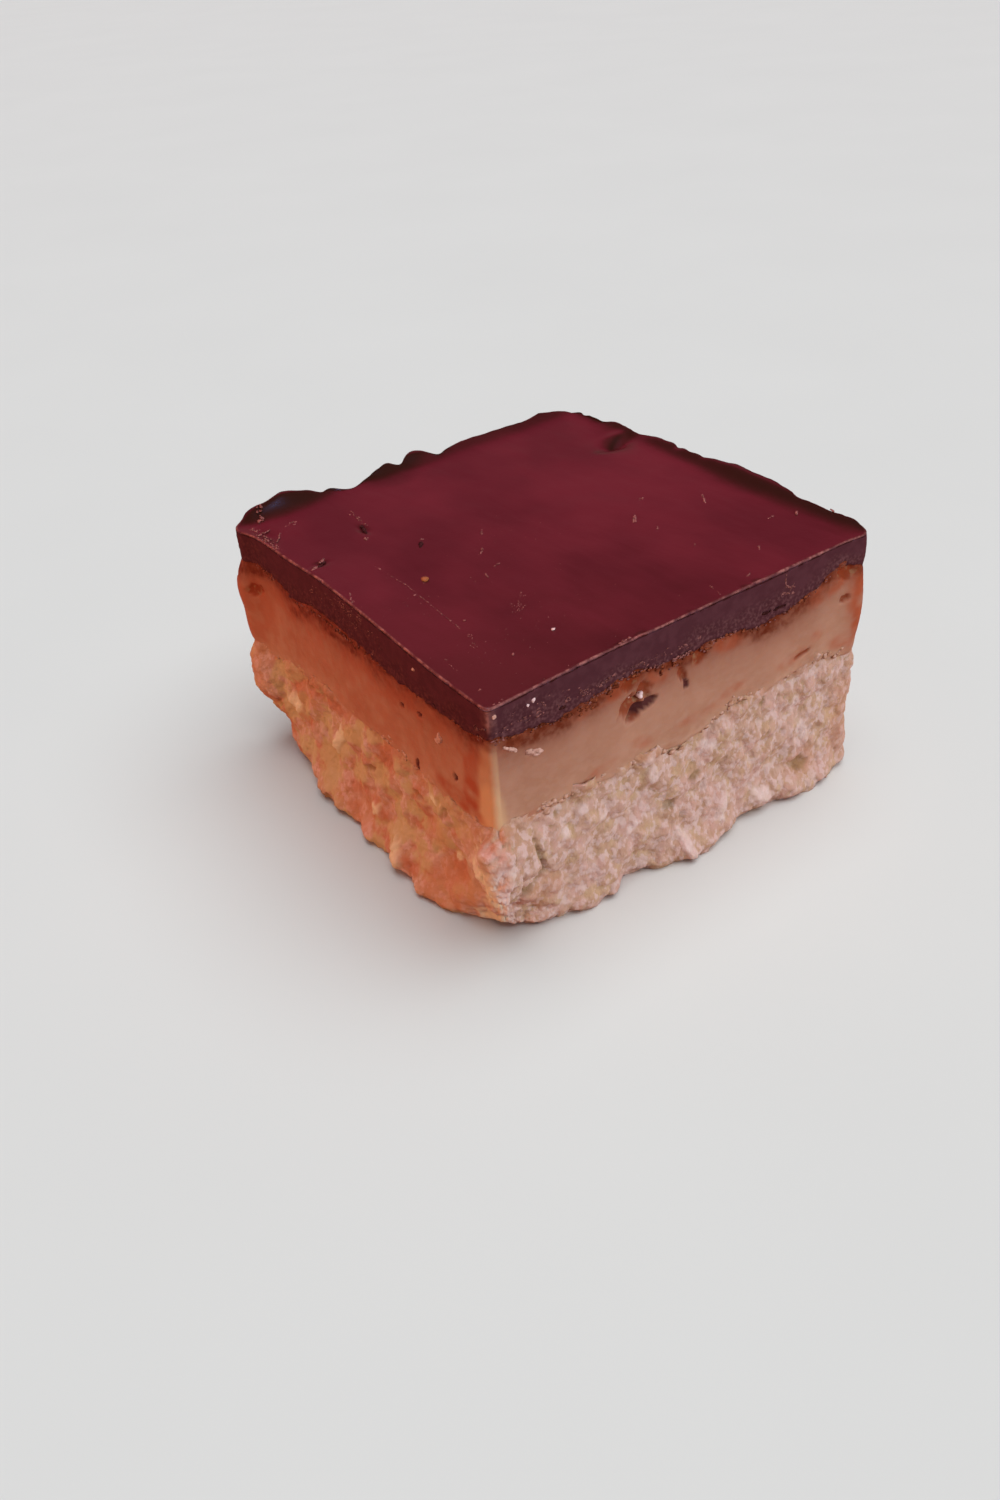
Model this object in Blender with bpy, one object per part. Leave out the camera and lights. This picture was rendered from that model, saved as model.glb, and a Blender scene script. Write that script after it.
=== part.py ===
"""Millionaires shortbread: one square cut from the corner of a tray.

Three layers run through the whole square: a crumbly shortbread base, a caramel
layer and a thin chocolate top. Sizes are in millimetres and become metres when a
mesh is made. A place in plan is given as (u, v): u runs from the front corner
along the right cut face, v from the same corner along the left cut face. The two
far sides set against the tin, so their corner is rounded and the chocolate there
climbs into an uneven raised lip.
"""

import math

import bmesh
import bpy
from mathutils import Vector, noise

MILLIMETRE = 0.001
SHARP_ANGLE = math.radians(35.0)

# Driving dimensions
WIDTH = 60.5
DEPTH = 60.6
BASE_TOP = 19.4
CHOCOLATE_BOTTOM = 31.6
CHOCOLATE_TOP = 36.9
LAYER_GAP = 0.3

# Where the front corner of the cut stands in the part's own frame
FRONT_CORNER = (-29.5, -30.3)

# Plan outline: corner radii and steps, from the front corner anticlockwise
CORNER_RADII = (0.7, 2.0, 6.0, 3.2)
CORNER_STEPS = (6, 3, 5, 6)
SIDE_STEPS = 31

# Crumbled away at the foot of the base: extra corner radius, and the height it reaches
FOOT_WEAR = (12.0, 0.0, 1.0, 5.5)
FOOT_WEAR_RISE = (6.5, 3.0, 3.0, 5.5)

# Depths at which the rings of a cap follow the edge inwards
SEAM_INSETS = (2.4, 7.0)
TOP_INSETS = (0.35, 1.2, 2.4, 4.0, 6.0, 8.5, 11.0)
EDGE_FADE = 7.0

# Heights of the rings up each side
BASE_LEVELS = (0.0, 0.7, 2.2, 3.8, 5.4, 7.0, 8.6, 10.2, 11.8, 13.4, 15.0, 16.6)
CARAMEL_SHARES = (0.0, 0.07, 0.24, 0.41, 0.58, 0.75, 0.93, 1.0)
CHOCOLATE_SHARES = (0.0, 0.1, 0.5, 0.9)

# Underside of the chocolate: (u, v, reach, height)
CHOCOLATE_WAVES = (
    (0.0, 0.0, 3.0, 0.7),
    (10.0, 0.0, 3.5, -0.6),
    (20.0, 0.0, 3.5, 0.8),
    (42.5, 0.0, 4.5, -1.3),
    (55.5, 0.0, 3.5, 2.2),
    (0.0, 20.0, 6.0, -0.6),
    (0.0, 45.0, 3.5, -1.0),
    (0.0, 54.0, 4.5, 0.7),
    (60.5, 20.0, 6.0, -0.7),
    (60.5, 42.0, 5.0, 0.6),
    (20.0, 60.6, 6.0, 0.6),
    (43.0, 60.6, 6.0, -0.7),
)

# Underside of the caramel: (u, v, reach, height)
CARAMEL_WAVES = (
    (0.0, 6.0, 6.0, -1.6),
    (0.0, 53.0, 8.0, -1.5),
    (38.0, 0.0, 3.5, 1.1),
    (50.0, 0.0, 7.0, 1.9),
    (28.0, 0.0, 2.6, -0.6),
    (60.5, 30.0, 7.0, 0.9),
    (60.5, 48.0, 6.0, -0.9),
    (14.0, 60.6, 7.0, 0.8),
    (36.0, 60.6, 8.0, -0.8),
)

# Swells and hollows of the base: (u, v, z, reach in plan, reach in height, depth)
BASE_FORM = (
    (0.0, 0.0, 14.0, 5.0, 5.5, 1.7),
    (12.0, 0.0, 0.0, 6.0, 5.0, 1.4),
    (32.0, 0.0, 0.0, 7.0, 4.5, 2.9),
    (51.0, 0.0, 0.0, 6.0, 4.0, 2.6),
    (20.5, 0.0, 0.0, 3.5, 3.5, -0.8),
    (60.5, 0.0, 2.0, 4.0, 4.0, 1.0),
    (60.5, 0.0, 14.0, 4.0, 6.0, 0.7),
    (0.0, 15.0, 0.0, 8.0, 5.5, 2.7),
    (0.0, 29.0, 0.0, 8.0, 5.0, 2.8),
    (0.0, 42.0, 1.0, 7.0, 4.5, 2.2),
    (0.0, 60.0, 0.0, 5.0, 4.0, -1.6),
    (0.0, 60.6, 13.0, 5.5, 6.0, 3.4),
    (60.5, 18.0, 2.0, 9.0, 7.0, 1.2),
    (60.5, 44.0, 0.0, 7.0, 6.0, -1.2),
    (24.0, 60.6, 1.0, 9.0, 6.0, 1.1),
    (46.0, 60.6, 0.0, 6.0, 5.0, -1.3),
)
FOOT_ROUNDING = 1.0
FOOT_ROUNDING_RISE = 0.8
CRUMB_SIZE = 3.6
CRUMB_RELIEF = 2.0
CRUMB_MEAN = 0.5
CRAG_SIZE = 7.5
CRAG_RELIEF = 0.6
TIN_SIDE_RELIEF = 0.45

# Swells and hollows of the caramel, in the same form
CARAMEL_FORM = (
    (0.0, 60.6, 27.5, 5.0, 4.5, 2.5),
    (0.0, 60.6, 20.5, 5.0, 4.0, 1.9),
    (60.5, 0.0, 25.0, 4.0, 6.0, 1.0),
    (21.0, 0.0, 28.6, 3.0, 2.6, -1.9),
    (28.5, 0.0, 28.0, 1.8, 2.0, -0.8),
    (0.0, 30.0, 25.0, 14.0, 5.0, 0.3),
    (60.5, 24.0, 26.0, 12.0, 4.0, 0.7),
    (60.5, 47.0, 24.0, 8.0, 4.0, -0.5),
    (30.0, 60.6, 26.0, 14.0, 4.0, 0.6),
)
CARAMEL_SAG = 0.25
CARAMEL_SAG_SIZE = 9.0

# Swells and hollows of the chocolate's outline: (u, v, reach, depth)
CHOCOLATE_FORM = (
    (60.5, 21.0, 9.0, 1.3),
    (60.5, 38.0, 5.0, 0.7),
    (60.5, 54.0, 3.0, -0.9),
    (7.0, 60.6, 6.0, 0.8),
    (18.0, 60.6, 4.0, -1.7),
    (30.0, 60.6, 2.5, 0.8),
    (33.5, 60.6, 1.8, -0.9),
    (0.0, 10.0, 10.0, 0.4),
    (0.0, 37.0, 6.0, -0.3),
    (0.0, 60.6, 4.0, 1.0),
    (60.5, 0.0, 3.0, 0.5),
)
CHOCOLATE_EDGE_ROUND = 0.35
CHOCOLATE_FOOT_ROUND = 0.15
TIN_EDGE_WOBBLE = 0.45
TIN_EDGE_SIZE = 3.2

# Height of the top: broad slopes and the dent (u, v, reach, height)
TOP_SLOPES = (
    (0.0, 0.0, 9.0, -0.5),
    (0.0, 31.0, 10.0, 0.35),
    (1.0, 60.0, 5.0, -0.6),
    (55.5, 45.0, 2.8, -0.9),
)

# Raised lip on the two far edges: mean height, how far it runs in, and its bumps
LIP_HEIGHT = 0.35
LIP_REACH = 2.4
LIP_BUMPS = (
    (7.5, 60.6, 4.5, 0.9),
    (30.0, 60.6, 2.8, 0.5),
    (23.5, 60.6, 2.0, 0.4),
    (18.0, 60.6, 3.0, -0.5),
    (46.0, 60.6, 8.0, 0.1),
    (60.5, 22.0, 8.0, 0.3),
    (60.5, 45.0, 3.0, -0.3),
)

# Looks: name, colour, roughness, metallic
SHORTBREAD_LOOK = ("shortbread", (0.56, 0.36, 0.22, 1.0), 0.85, 0.0)
CARAMEL_LOOK = ("caramel", (0.42, 0.18, 0.075, 1.0), 0.38, 0.0)
CHOCOLATE_LOOK = ("chocolate", (0.07, 0.014, 0.013, 1.0), 0.3, 0.0)


def clear_scene():
    """Start from an empty scene."""
    for item in list(bpy.data.objects):
        bpy.data.objects.remove(item, do_unlink=True)


def bell(distance_squared, reach):
    """A smooth bump of height one that dies away over its reach."""
    return math.exp(-distance_squared / (reach * reach))


def waves(u, v, features):
    """Sum of the plan bumps at one place."""
    total = 0.0
    for fu, fv, reach, height in features:
        total += height * bell((u - fu) ** 2 + (v - fv) ** 2, reach)
    return total


def form(u, v, z, features):
    """Sum of the swells and hollows of a side at one place and height."""
    total = 0.0
    for fu, fv, fz, reach, rise, depth in features:
        total += depth * bell((u - fu) ** 2 + (v - fv) ** 2, reach) * bell((z - fz) ** 2, rise)
    return total


def outline(radii=CORNER_RADII):
    """The plan as (u, v, outward u, outward v), anticlockwise from the front corner."""
    corners = ((0.0, 0.0), (WIDTH, 0.0), (WIDTH, DEPTH), (0.0, DEPTH))
    inward = ((1, 1), (-1, 1), (-1, -1), (1, -1))
    arcs = []
    for index, (corner, turn, radius, steps) in enumerate(zip(corners, inward, radii, CORNER_STEPS)):
        centre = (corner[0] + turn[0] * radius, corner[1] + turn[1] * radius)
        start = math.pi * (1.0 + 0.5 * index)
        arc = []
        for step in range(steps + 1):
            angle = start + 0.5 * math.pi * step / steps
            out = (math.cos(angle), math.sin(angle))
            arc.append((centre[0] + radius * out[0], centre[1] + radius * out[1], out[0], out[1]))
        arcs.append(arc)
    points = []
    for index, arc in enumerate(arcs):
        points.extend(arc)
        first, last = arc[-1], arcs[(index + 1) % 4][0]
        for step in range(1, SIDE_STEPS):
            share = step / SIDE_STEPS
            points.append(tuple(a + (b - a) * share for a, b in zip(first, last)))
    return points


def tin_share(u, v):
    """One on the two far sides that set against the tin, nought on the cut faces."""
    near = min(u, v)
    far = min(WIDTH - u, DEPTH - v)
    return 1.0 if far < near else 0.0


def chocolate_bottom(u, v, inset):
    """Height of the underside of the chocolate, level away from the edge."""
    fade = max(0.0, 1.0 - inset / EDGE_FADE)
    return CHOCOLATE_BOTTOM + fade * waves(u, v, CHOCOLATE_WAVES)


def caramel_bottom(u, v, inset):
    """Height of the underside of the caramel, level away from the edge."""
    fade = max(0.0, 1.0 - inset / EDGE_FADE)
    return BASE_TOP + fade * waves(u, v, CARAMEL_WAVES)


def chocolate_top(u, v, inset):
    """Height of the top: nearly level, with the lip on the two far edges."""
    fade = max(0.0, 1.0 - inset / TOP_INSETS[-1])
    far = min(WIDTH - u, DEPTH - v)
    lip = (LIP_HEIGHT + waves(u, v, LIP_BUMPS)) * bell(max(far, 0.0) ** 2, LIP_REACH)
    cut = min(1.0, max(0.0, min(u, v)) / LIP_REACH)
    return CHOCOLATE_TOP + fade * waves(u, v, TOP_SLOPES) + lip * cut


def base_radii(z):
    """Corner radii of the base at one height: the foot's corners have crumbled."""
    worn = zip(CORNER_RADII, FOOT_WEAR, FOOT_WEAR_RISE)
    return tuple(radius + wear * bell(z * z, rise) for radius, wear, rise in worn)


def base_offset(u, v, z):
    """How far the side of the base stands out from the plain outline."""
    point = Vector((u, v, z))
    crumb = CRUMB_MEAN - noise.voronoi(point / CRUMB_SIZE)[0][0]
    crag = noise.noise(point / CRAG_SIZE)
    rough = CRUMB_RELIEF * crumb + CRAG_RELIEF * crag
    rough *= 1.0 - (1.0 - TIN_SIDE_RELIEF) * tin_share(u, v)
    foot = FOOT_ROUNDING * bell(z * z, FOOT_ROUNDING_RISE)
    return form(u, v, z, BASE_FORM) + rough - foot


def caramel_offset(u, v, z):
    """How far the side of the caramel stands out."""
    sag = CARAMEL_SAG * noise.noise(Vector((u, v, z)) / CARAMEL_SAG_SIZE)
    return form(u, v, z, CARAMEL_FORM) + sag


def chocolate_offset(u, v, z):
    """How far the side of the chocolate stands out."""
    wobble = TIN_EDGE_WOBBLE * noise.noise(Vector((u, v, z)) / TIN_EDGE_SIZE)
    return waves(u, v, CHOCOLATE_FORM) + wobble * tin_share(u, v)


def side_ring(height_of, offset_of, pull=0.0, radii=CORNER_RADII):
    """One ring round the outside."""
    ring = []
    for u, v, out_u, out_v in outline(radii):
        z = height_of(u, v)
        offset = offset_of(u, v, z) - pull
        ring.append((u + out_u * offset, v + out_v * offset, z))
    return ring


def cap_ring(edge, inset, height_of):
    """A ring on a cap: its edge ring drawn in towards the middle of the square."""
    scale_u = 1.0 - inset / (0.5 * WIDTH)
    scale_v = 1.0 - inset / (0.5 * DEPTH)
    ring = []
    for u, v, _ in edge:
        plan_u = 0.5 * WIDTH + (u - 0.5 * WIDTH) * scale_u
        plan_v = 0.5 * DEPTH + (v - 0.5 * DEPTH) * scale_v
        ring.append((plan_u, plan_v, height_of(plan_u, plan_v, inset)))
    return ring


def loft(name, rings, look):
    """Join the rings, lowest first, into one closed body with its own material."""
    body = bmesh.new()
    corner = Vector((*FRONT_CORNER, 0.0))
    rows = []
    for ring in rings:
        rows.append([body.verts.new((Vector(point) + corner) * MILLIMETRE) for point in ring])
    count = len(rows[0])
    for low, high in zip(rows, rows[1:]):
        for index in range(count):
            after = (index + 1) % count
            body.faces.new((low[index], low[after], high[after], high[index]))
    body.faces.new(list(reversed(rows[0])))
    body.faces.new(rows[-1])
    bmesh.ops.triangulate(body, faces=body.faces)
    mesh = bpy.data.meshes.new(name)
    body.to_mesh(mesh)
    body.free()
    mesh.shade_smooth()
    mesh.set_sharp_from_angle(angle=SHARP_ANGLE)
    mesh.materials.append(make_material(*look))
    item = bpy.data.objects.new(name, mesh)
    bpy.context.scene.collection.objects.link(item)
    return item


def make_material(name, colour, roughness, metallic):
    """A plain surface of one colour."""
    material = bpy.data.materials.new(name)
    material.use_nodes = True
    shader = material.node_tree.nodes["Principled BSDF"]
    shader.inputs["Base Color"].default_value = colour
    shader.inputs["Roughness"].default_value = roughness
    shader.inputs["Metallic"].default_value = metallic
    return material


def make_base():
    """The shortbread: level underneath, craggy up the sides, wavy under the caramel."""
    rings = []
    for level in BASE_LEVELS:
        rings.append(side_ring(lambda u, v, level=level: level, base_offset, radii=base_radii(level)))

    def top(u, v, inset=0.0):
        return caramel_bottom(u, v, inset) - LAYER_GAP

    def below_top(u, v):
        return 0.5 * (BASE_LEVELS[-1] + top(u, v))

    rings.append(side_ring(below_top, base_offset))
    edge = side_ring(top, base_offset, pull=CHOCOLATE_EDGE_ROUND)
    rings.append(edge)
    rings.extend(cap_ring(edge, inset, top) for inset in SEAM_INSETS)
    return loft("shortbread_base", rings, SHORTBREAD_LOOK)


def make_caramel():
    """The caramel: a slab with a level middle, wavy along its edges."""

    def top(u, v, inset=0.0):
        return chocolate_bottom(u, v, inset) - LAYER_GAP

    def bottom(u, v, inset=0.0):
        return caramel_bottom(u, v, inset)

    sides = []
    for share in CARAMEL_SHARES:
        edge_pull = CHOCOLATE_FOOT_ROUND if share in (0.0, 1.0) else 0.0
        sides.append(
            side_ring(
                lambda u, v, share=share: bottom(u, v) + share * (top(u, v) - bottom(u, v)),
                caramel_offset,
                pull=edge_pull,
            )
        )
    under = [cap_ring(sides[0], inset, bottom) for inset in reversed(SEAM_INSETS)]
    over = [cap_ring(sides[-1], inset, top) for inset in SEAM_INSETS]
    return loft("caramel_layer", under + sides + over, CARAMEL_LOOK)


def make_chocolate():
    """The chocolate: crisp where cut, rounded with a raised lip where it met the tin."""

    def top(u, v, inset=0.0):
        return chocolate_top(u, v, inset)

    def bottom(u, v, inset=0.0):
        return chocolate_bottom(u, v, inset)

    sides = []
    for share in CHOCOLATE_SHARES:
        edge_pull = CHOCOLATE_FOOT_ROUND if share == 0.0 else 0.0
        sides.append(
            side_ring(
                lambda u, v, share=share: bottom(u, v) + share * (top(u, v) - bottom(u, v)),
                chocolate_offset,
                pull=edge_pull,
            )
        )
    under = [cap_ring(sides[0], inset, bottom) for inset in reversed(SEAM_INSETS)]
    over = [cap_ring(sides[-1], inset, top) for inset in TOP_INSETS]
    return loft("chocolate_top", under + sides + over, CHOCOLATE_LOOK)


def main():
    clear_scene()
    make_base()
    make_caramel()
    make_chocolate()


main()
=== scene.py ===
import math

import bmesh
import bpy
import numpy as np
from mathutils import Matrix, Vector, noise


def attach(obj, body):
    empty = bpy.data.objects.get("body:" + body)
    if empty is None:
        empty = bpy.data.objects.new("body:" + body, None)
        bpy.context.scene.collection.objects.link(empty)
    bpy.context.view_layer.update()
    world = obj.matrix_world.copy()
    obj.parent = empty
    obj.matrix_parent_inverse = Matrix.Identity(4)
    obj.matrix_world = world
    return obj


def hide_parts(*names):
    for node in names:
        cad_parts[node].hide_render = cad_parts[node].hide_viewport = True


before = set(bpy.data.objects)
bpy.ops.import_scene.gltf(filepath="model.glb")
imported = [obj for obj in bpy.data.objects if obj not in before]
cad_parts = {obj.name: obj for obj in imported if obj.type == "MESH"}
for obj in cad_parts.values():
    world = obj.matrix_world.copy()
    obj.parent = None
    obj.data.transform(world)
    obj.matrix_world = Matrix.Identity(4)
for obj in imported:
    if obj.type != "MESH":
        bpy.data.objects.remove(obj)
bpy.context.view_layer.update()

# The looks of a millionaires shortbread square. Sizes are in millimetres and become
# metres when a mesh is made. A place in plan is (u, v): u runs from the front corner
# along the right cut face, v from the same corner along the left cut face.

MILLIMETRE = 0.001

# Form of the square, the same named sizes as the solids
WIDTH = 60.5
DEPTH = 60.6
BASE_TOP = 19.4
CHOCOLATE_BOTTOM = 31.6
CHOCOLATE_TOP = 36.9
FRONT_CORNER = (-29.5, -30.3)
CORNER_RADII = (0.7, 2.0, 6.0, 3.2)
FOOT_WEAR = (12.0, 0.0, 1.0, 5.5)
FOOT_WEAR_RISE = (6.5, 3.0, 3.0, 5.5)
EDGE_FADE = 7.0
TOP_FADE = 11.0

# Waves of the two seams: (u, v, reach, height)
CHOCOLATE_WAVES = (
    (0.0, 0.0, 3.0, 0.7),
    (10.0, 0.0, 3.5, -0.6),
    (20.0, 0.0, 3.5, 0.8),
    (42.5, 0.0, 4.5, -1.3),
    (55.5, 0.0, 3.5, 2.2),
    (0.0, 20.0, 6.0, -0.6),
    (0.0, 45.0, 3.5, -1.0),
    (0.0, 54.0, 4.5, 0.7),
    (60.5, 20.0, 6.0, -0.7),
    (60.5, 42.0, 5.0, 0.6),
    (20.0, 60.6, 6.0, 0.6),
    (43.0, 60.6, 6.0, -0.7),
)
CARAMEL_WAVES = (
    (0.0, 6.0, 6.0, -1.6),
    (0.0, 53.0, 8.0, -1.5),
    (38.0, 0.0, 3.5, 1.1),
    (50.0, 0.0, 7.0, 1.9),
    (28.0, 0.0, 2.6, -0.6),
    (60.5, 30.0, 7.0, 0.9),
    (60.5, 48.0, 6.0, -0.9),
    (14.0, 60.6, 7.0, 0.8),
    (36.0, 60.6, 8.0, -0.8),
)

# Swells and hollows of the sides: (u, v, height, reach, rise, depth)
BASE_FORM = (
    (0.0, 0.0, 14.0, 5.0, 5.5, 1.7),
    (12.0, 0.0, 0.0, 6.0, 5.0, 1.4),
    (32.0, 0.0, 0.0, 7.0, 4.5, 2.9),
    (51.0, 0.0, 0.0, 6.0, 4.0, 2.6),
    (20.5, 0.0, 0.0, 3.5, 3.5, -0.8),
    (60.5, 0.0, 2.0, 4.0, 4.0, 1.0),
    (60.5, 0.0, 14.0, 4.0, 6.0, 0.7),
    (0.0, 15.0, 0.0, 8.0, 5.5, 2.7),
    (0.0, 29.0, 0.0, 8.0, 5.0, 2.8),
    (0.0, 42.0, 1.0, 7.0, 4.5, 2.2),
    (0.0, 60.0, 0.0, 5.0, 4.0, -1.6),
    (0.0, 60.6, 13.0, 5.5, 6.0, 3.4),
    (60.5, 18.0, 2.0, 9.0, 7.0, 1.2),
    (60.5, 44.0, 0.0, 7.0, 6.0, -1.2),
    (24.0, 60.6, 1.0, 9.0, 6.0, 1.1),
    (46.0, 60.6, 0.0, 6.0, 5.0, -1.3),
)
CARAMEL_FORM = (
    (0.0, 60.6, 27.5, 5.0, 4.5, 2.5),
    (0.0, 60.6, 20.5, 5.0, 4.0, 1.9),
    (60.5, 0.0, 25.0, 4.0, 6.0, 1.0),
    (0.0, 30.0, 25.0, 14.0, 5.0, 0.3),
    (60.5, 24.0, 26.0, 12.0, 4.0, 0.7),
    (60.5, 47.0, 24.0, 8.0, 4.0, -0.5),
    (30.0, 60.6, 26.0, 14.0, 4.0, 0.6),
)

# Swells of the chocolate's side, slopes of the top, bumps of its lip: (u, v, reach, height)
CHOCOLATE_FORM = (
    (60.5, 21.0, 9.0, 1.3),
    (60.5, 38.0, 5.0, 0.7),
    (60.5, 54.0, 3.0, -0.9),
    (7.0, 60.6, 6.0, 0.8),
    (18.0, 60.6, 4.0, -1.7),
    (30.0, 60.6, 2.5, 0.8),
    (33.5, 60.6, 1.8, -0.9),
    (0.0, 10.0, 10.0, 0.4),
    (0.0, 37.0, 6.0, -0.3),
    (0.0, 60.6, 4.0, 1.0),
    (60.5, 0.0, 3.0, 0.5),
)
TOP_SLOPES = (
    (0.0, 0.0, 9.0, -0.5),
    (0.0, 31.0, 10.0, 0.35),
    (1.0, 60.0, 5.0, -0.6),
    (55.5, 45.0, 2.8, -0.9),
)
LIP_HEIGHT = 0.35
LIP_REACH = 2.4
LIP_BUMPS = (
    (7.5, 60.6, 4.5, 0.9),
    (30.0, 60.6, 2.8, 0.5),
    (23.5, 60.6, 2.0, 0.4),
    (18.0, 60.6, 3.0, -0.5),
    (46.0, 60.6, 8.0, 0.1),
    (60.5, 22.0, 8.0, 0.3),
    (60.5, 45.0, 3.0, -0.3),
)

# Roughness of the sides: sizes and reliefs of crumb, crags, sagging caramel and tin edge
CRUMB_SIZE = 3.6
CRUMB_RELIEF = 2.0
CRUMB_MEAN = 0.5
CRAG_SIZE = 7.5
CRAG_RELIEF = 0.6
FOOT_ROUNDING = 1.0
FOOT_ROUNDING_RISE = 0.8
TIN_SIDE_RELIEF = 0.45
CARAMEL_SAG = 0.25
CARAMEL_SAG_SIZE = 9.0
TIN_EDGE_WOBBLE = 0.45
TIN_EDGE_SIZE = 3.2

# Fineness of the meshes: how far apart columns and rows are, the crowd of columns round
# the front corner and its reach, points in a corner's arc, steps that columns are read from
BASE_STEP = 0.22
BASE_ROW = 0.24
CARAMEL_STEP = 0.26
CHOCOLATE_STEP = 0.34
CHOCOLATE_ROW = 0.24
CROWD = 5.0
CROWD_REACH = 1.4
ARC_POINTS = 33
PLAN_STEPS = 600

# How far a side runs on out of sight past its seam: base up, caramel down, caramel up
BASE_LAP = 0.8
CARAMEL_LOWER_LAP = 1.3
CARAMEL_UPPER_LAP = 0.3

# Insets of the rings that close a layer: under the base, and where two layers meet
UNDER_INSETS = (6.0, 1.5)
CAP_INSETS = (1.0, 2.4, 7.0)

# Crest and lobes of the lip: (u, v, reach, height)
LIP_CREST = 0.30
LIP_CREST_REACH = 1.2
LOBE_RISE = 0.5
LOBES = (
    (24.9, 60.6, 1.0, 0.4),
    (26.7, 60.6, 0.8, -0.4),
    (13.2, 60.6, 1.1, -0.6),
    (15.0, 60.6, 1.0, 0.2),
    (29.2, 60.6, 1.8, 0.15),
    (33.0, 60.6, 1.0, -0.5),
    (8.0, 60.6, 2.0, 0.2),
    (3.6, 60.6, 1.4, 0.2),
    (53.6, 60.6, 1.2, 0.25),
    (60.5, 35.8, 0.9, -0.45),
    (60.5, 51.5, 1.0, -0.35),
    (60.5, 56.2, 1.2, -0.5),
    (60.5, 25.0, 2.0, 0.2),
    (60.5, 30.4, 1.0, -0.25),
    (60.5, 12.0, 1.2, -0.2),
)

# Width of the dark rim, a painted dark reflection along the raised lip: (u, v, reach, width) along the back,
# (v, reach, width) on the right
RIM_BACK = 1.9
RIM_REACHES = (
    (24.0, 56.0, 4.6, 6.4),
    (5.0, 60.0, 6.0, 2.4),
    (11.0, 60.0, 3.0, 2.0),
    (44.0, 60.0, 13.0, -1.0),
)
RIM_RIGHT = 3.0
RIM_RIGHT_REACHES = (
    (24.0, 12.0, 0.8),
    (0.0, 7.0, -1.2),
)
RIM_EDGE = (0.45, 1.25)

# Dents in the top (u, v, half width, half length, depth), the dark slit of painted shade in one of them
# (u, v, half length, half width, tilt, bend), faint rings (u, v, reach, turn, height)
DENTS = (
    (54.6, 44.0, 2.2, 1.1, -0.75),
    (57.0, 46.4, 2.2, 1.3, 0.45),
    (12.0, 45.5, 0.55, 1.3, -0.25),
    (2.6, 40.5, 0.9, 0.5, -0.25),
    (1.5, 53.0, 1.0, 2.5, -0.25),
)
SLIT = (55.6, 45.2, 3.2, 0.55, 28.0, 0.09)
RINGS = (35.0, 25.0, 14.0, 1.1, 0.012)

# Worn edge of the top: its width, how far in its chips fade, the rings of the mesh behind it
ARRIS = 0.1
CHIP_FADE = 0.7
TOP_EDGE_INSETS = (ARRIS, 0.26, 0.5)
TOP_INSET = 0.8
TOP_RINGS = 85

# Grain of the crumb: (size, salt, relief of dome, relief by number, share of dome in the
# depth, share of number in the depth, share of number in the tone)
GRAINS = (
    (2.0, 11, 0.12, 0.12, 0.14, 0.12, 0.20),
    (1.1, 21, 0.27, 0.18, 0.40, 0.28, 0.40),
    (0.66, 31, 0.28, 0.13, 0.46, 0.0, 0.40),
)
DOME_REACH = 0.9
DOME_MEAN = 0.62
CRAG_CALM = 0.2
CORNER_REACH = 4.5

# How far the dark stain and the rust below the chocolate reach down the caramel
STAIN_REACH = 4.4
RUST_REACH = 2.1

# Lamps of the food, in metres: (name, place, size, watts, colour)
FOOD_LIGHTS = (
    ("right_soft", (0.35, -0.95, 0.40), 0.7, 9.2, (0.93, 0.92, 0.98)),
    ("left_warm", (-0.95, 0.20, 0.30), 0.7, 6.8, (1.0, 0.37, 0.17)),
    ("above_rose", (0.10, 0.10, 1.10), 0.9, 6.5, (1.0, 0.46, 0.56)),
    ("behind_soft", (0.5, 0.9, 0.5), 0.8, 4.0, (1.0, 0.82, 0.84)),
)
GLINT = ("glint", (0.0, -0.05, 0.88), 0.07, 0.6, (0.25, 0.45, 1.0))
LAMP_AIM = (0.0, 0.0, 0.02)

# Lamp of the floor: (name, direction it comes from, spread, strength, colour)
FLOOR_LIGHT = ("floor_soft", (0.25, -0.25, 1.4), 1.2, 2.75, (0.94, 1.0, 1.0))

# Floor: size in metres, tones, and the colours that it throws on the food and mirrors in it
FLOOR_SIZE = 6.0
FLOOR_TONES = (0.70, 0.70, 0.70), (0.73, 0.73, 0.73)
FLOOR_BOUNCE = (0.38, 0.16, 0.12)
FLOOR_GLOSS = (0.25, 0.05, 0.05)

# Surroundings: as seen, as light, and as mirrored from the horizon (0) to overhead (1)
WORLD_SEEN = ((0.74, 0.74, 0.745), 1.0)
WORLD_LIGHT = ((1.0, 0.78, 0.76), 0.20)
WORLD_GLOSS = (
    (0.0, (0.20, 0.120, 0.110, 1.0)),
    (0.31, (0.28, 0.110, 0.110, 1.0)),
    (0.37, (1.02, 0.035, 0.175, 1.0)),
    (0.48, (1.02, 0.035, 0.165, 1.0)),
    (0.565, (0.08, 0.008, 0.014, 1.0)),
    (0.80, (0.012, 0.010, 0.010, 1.0)),
)

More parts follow.
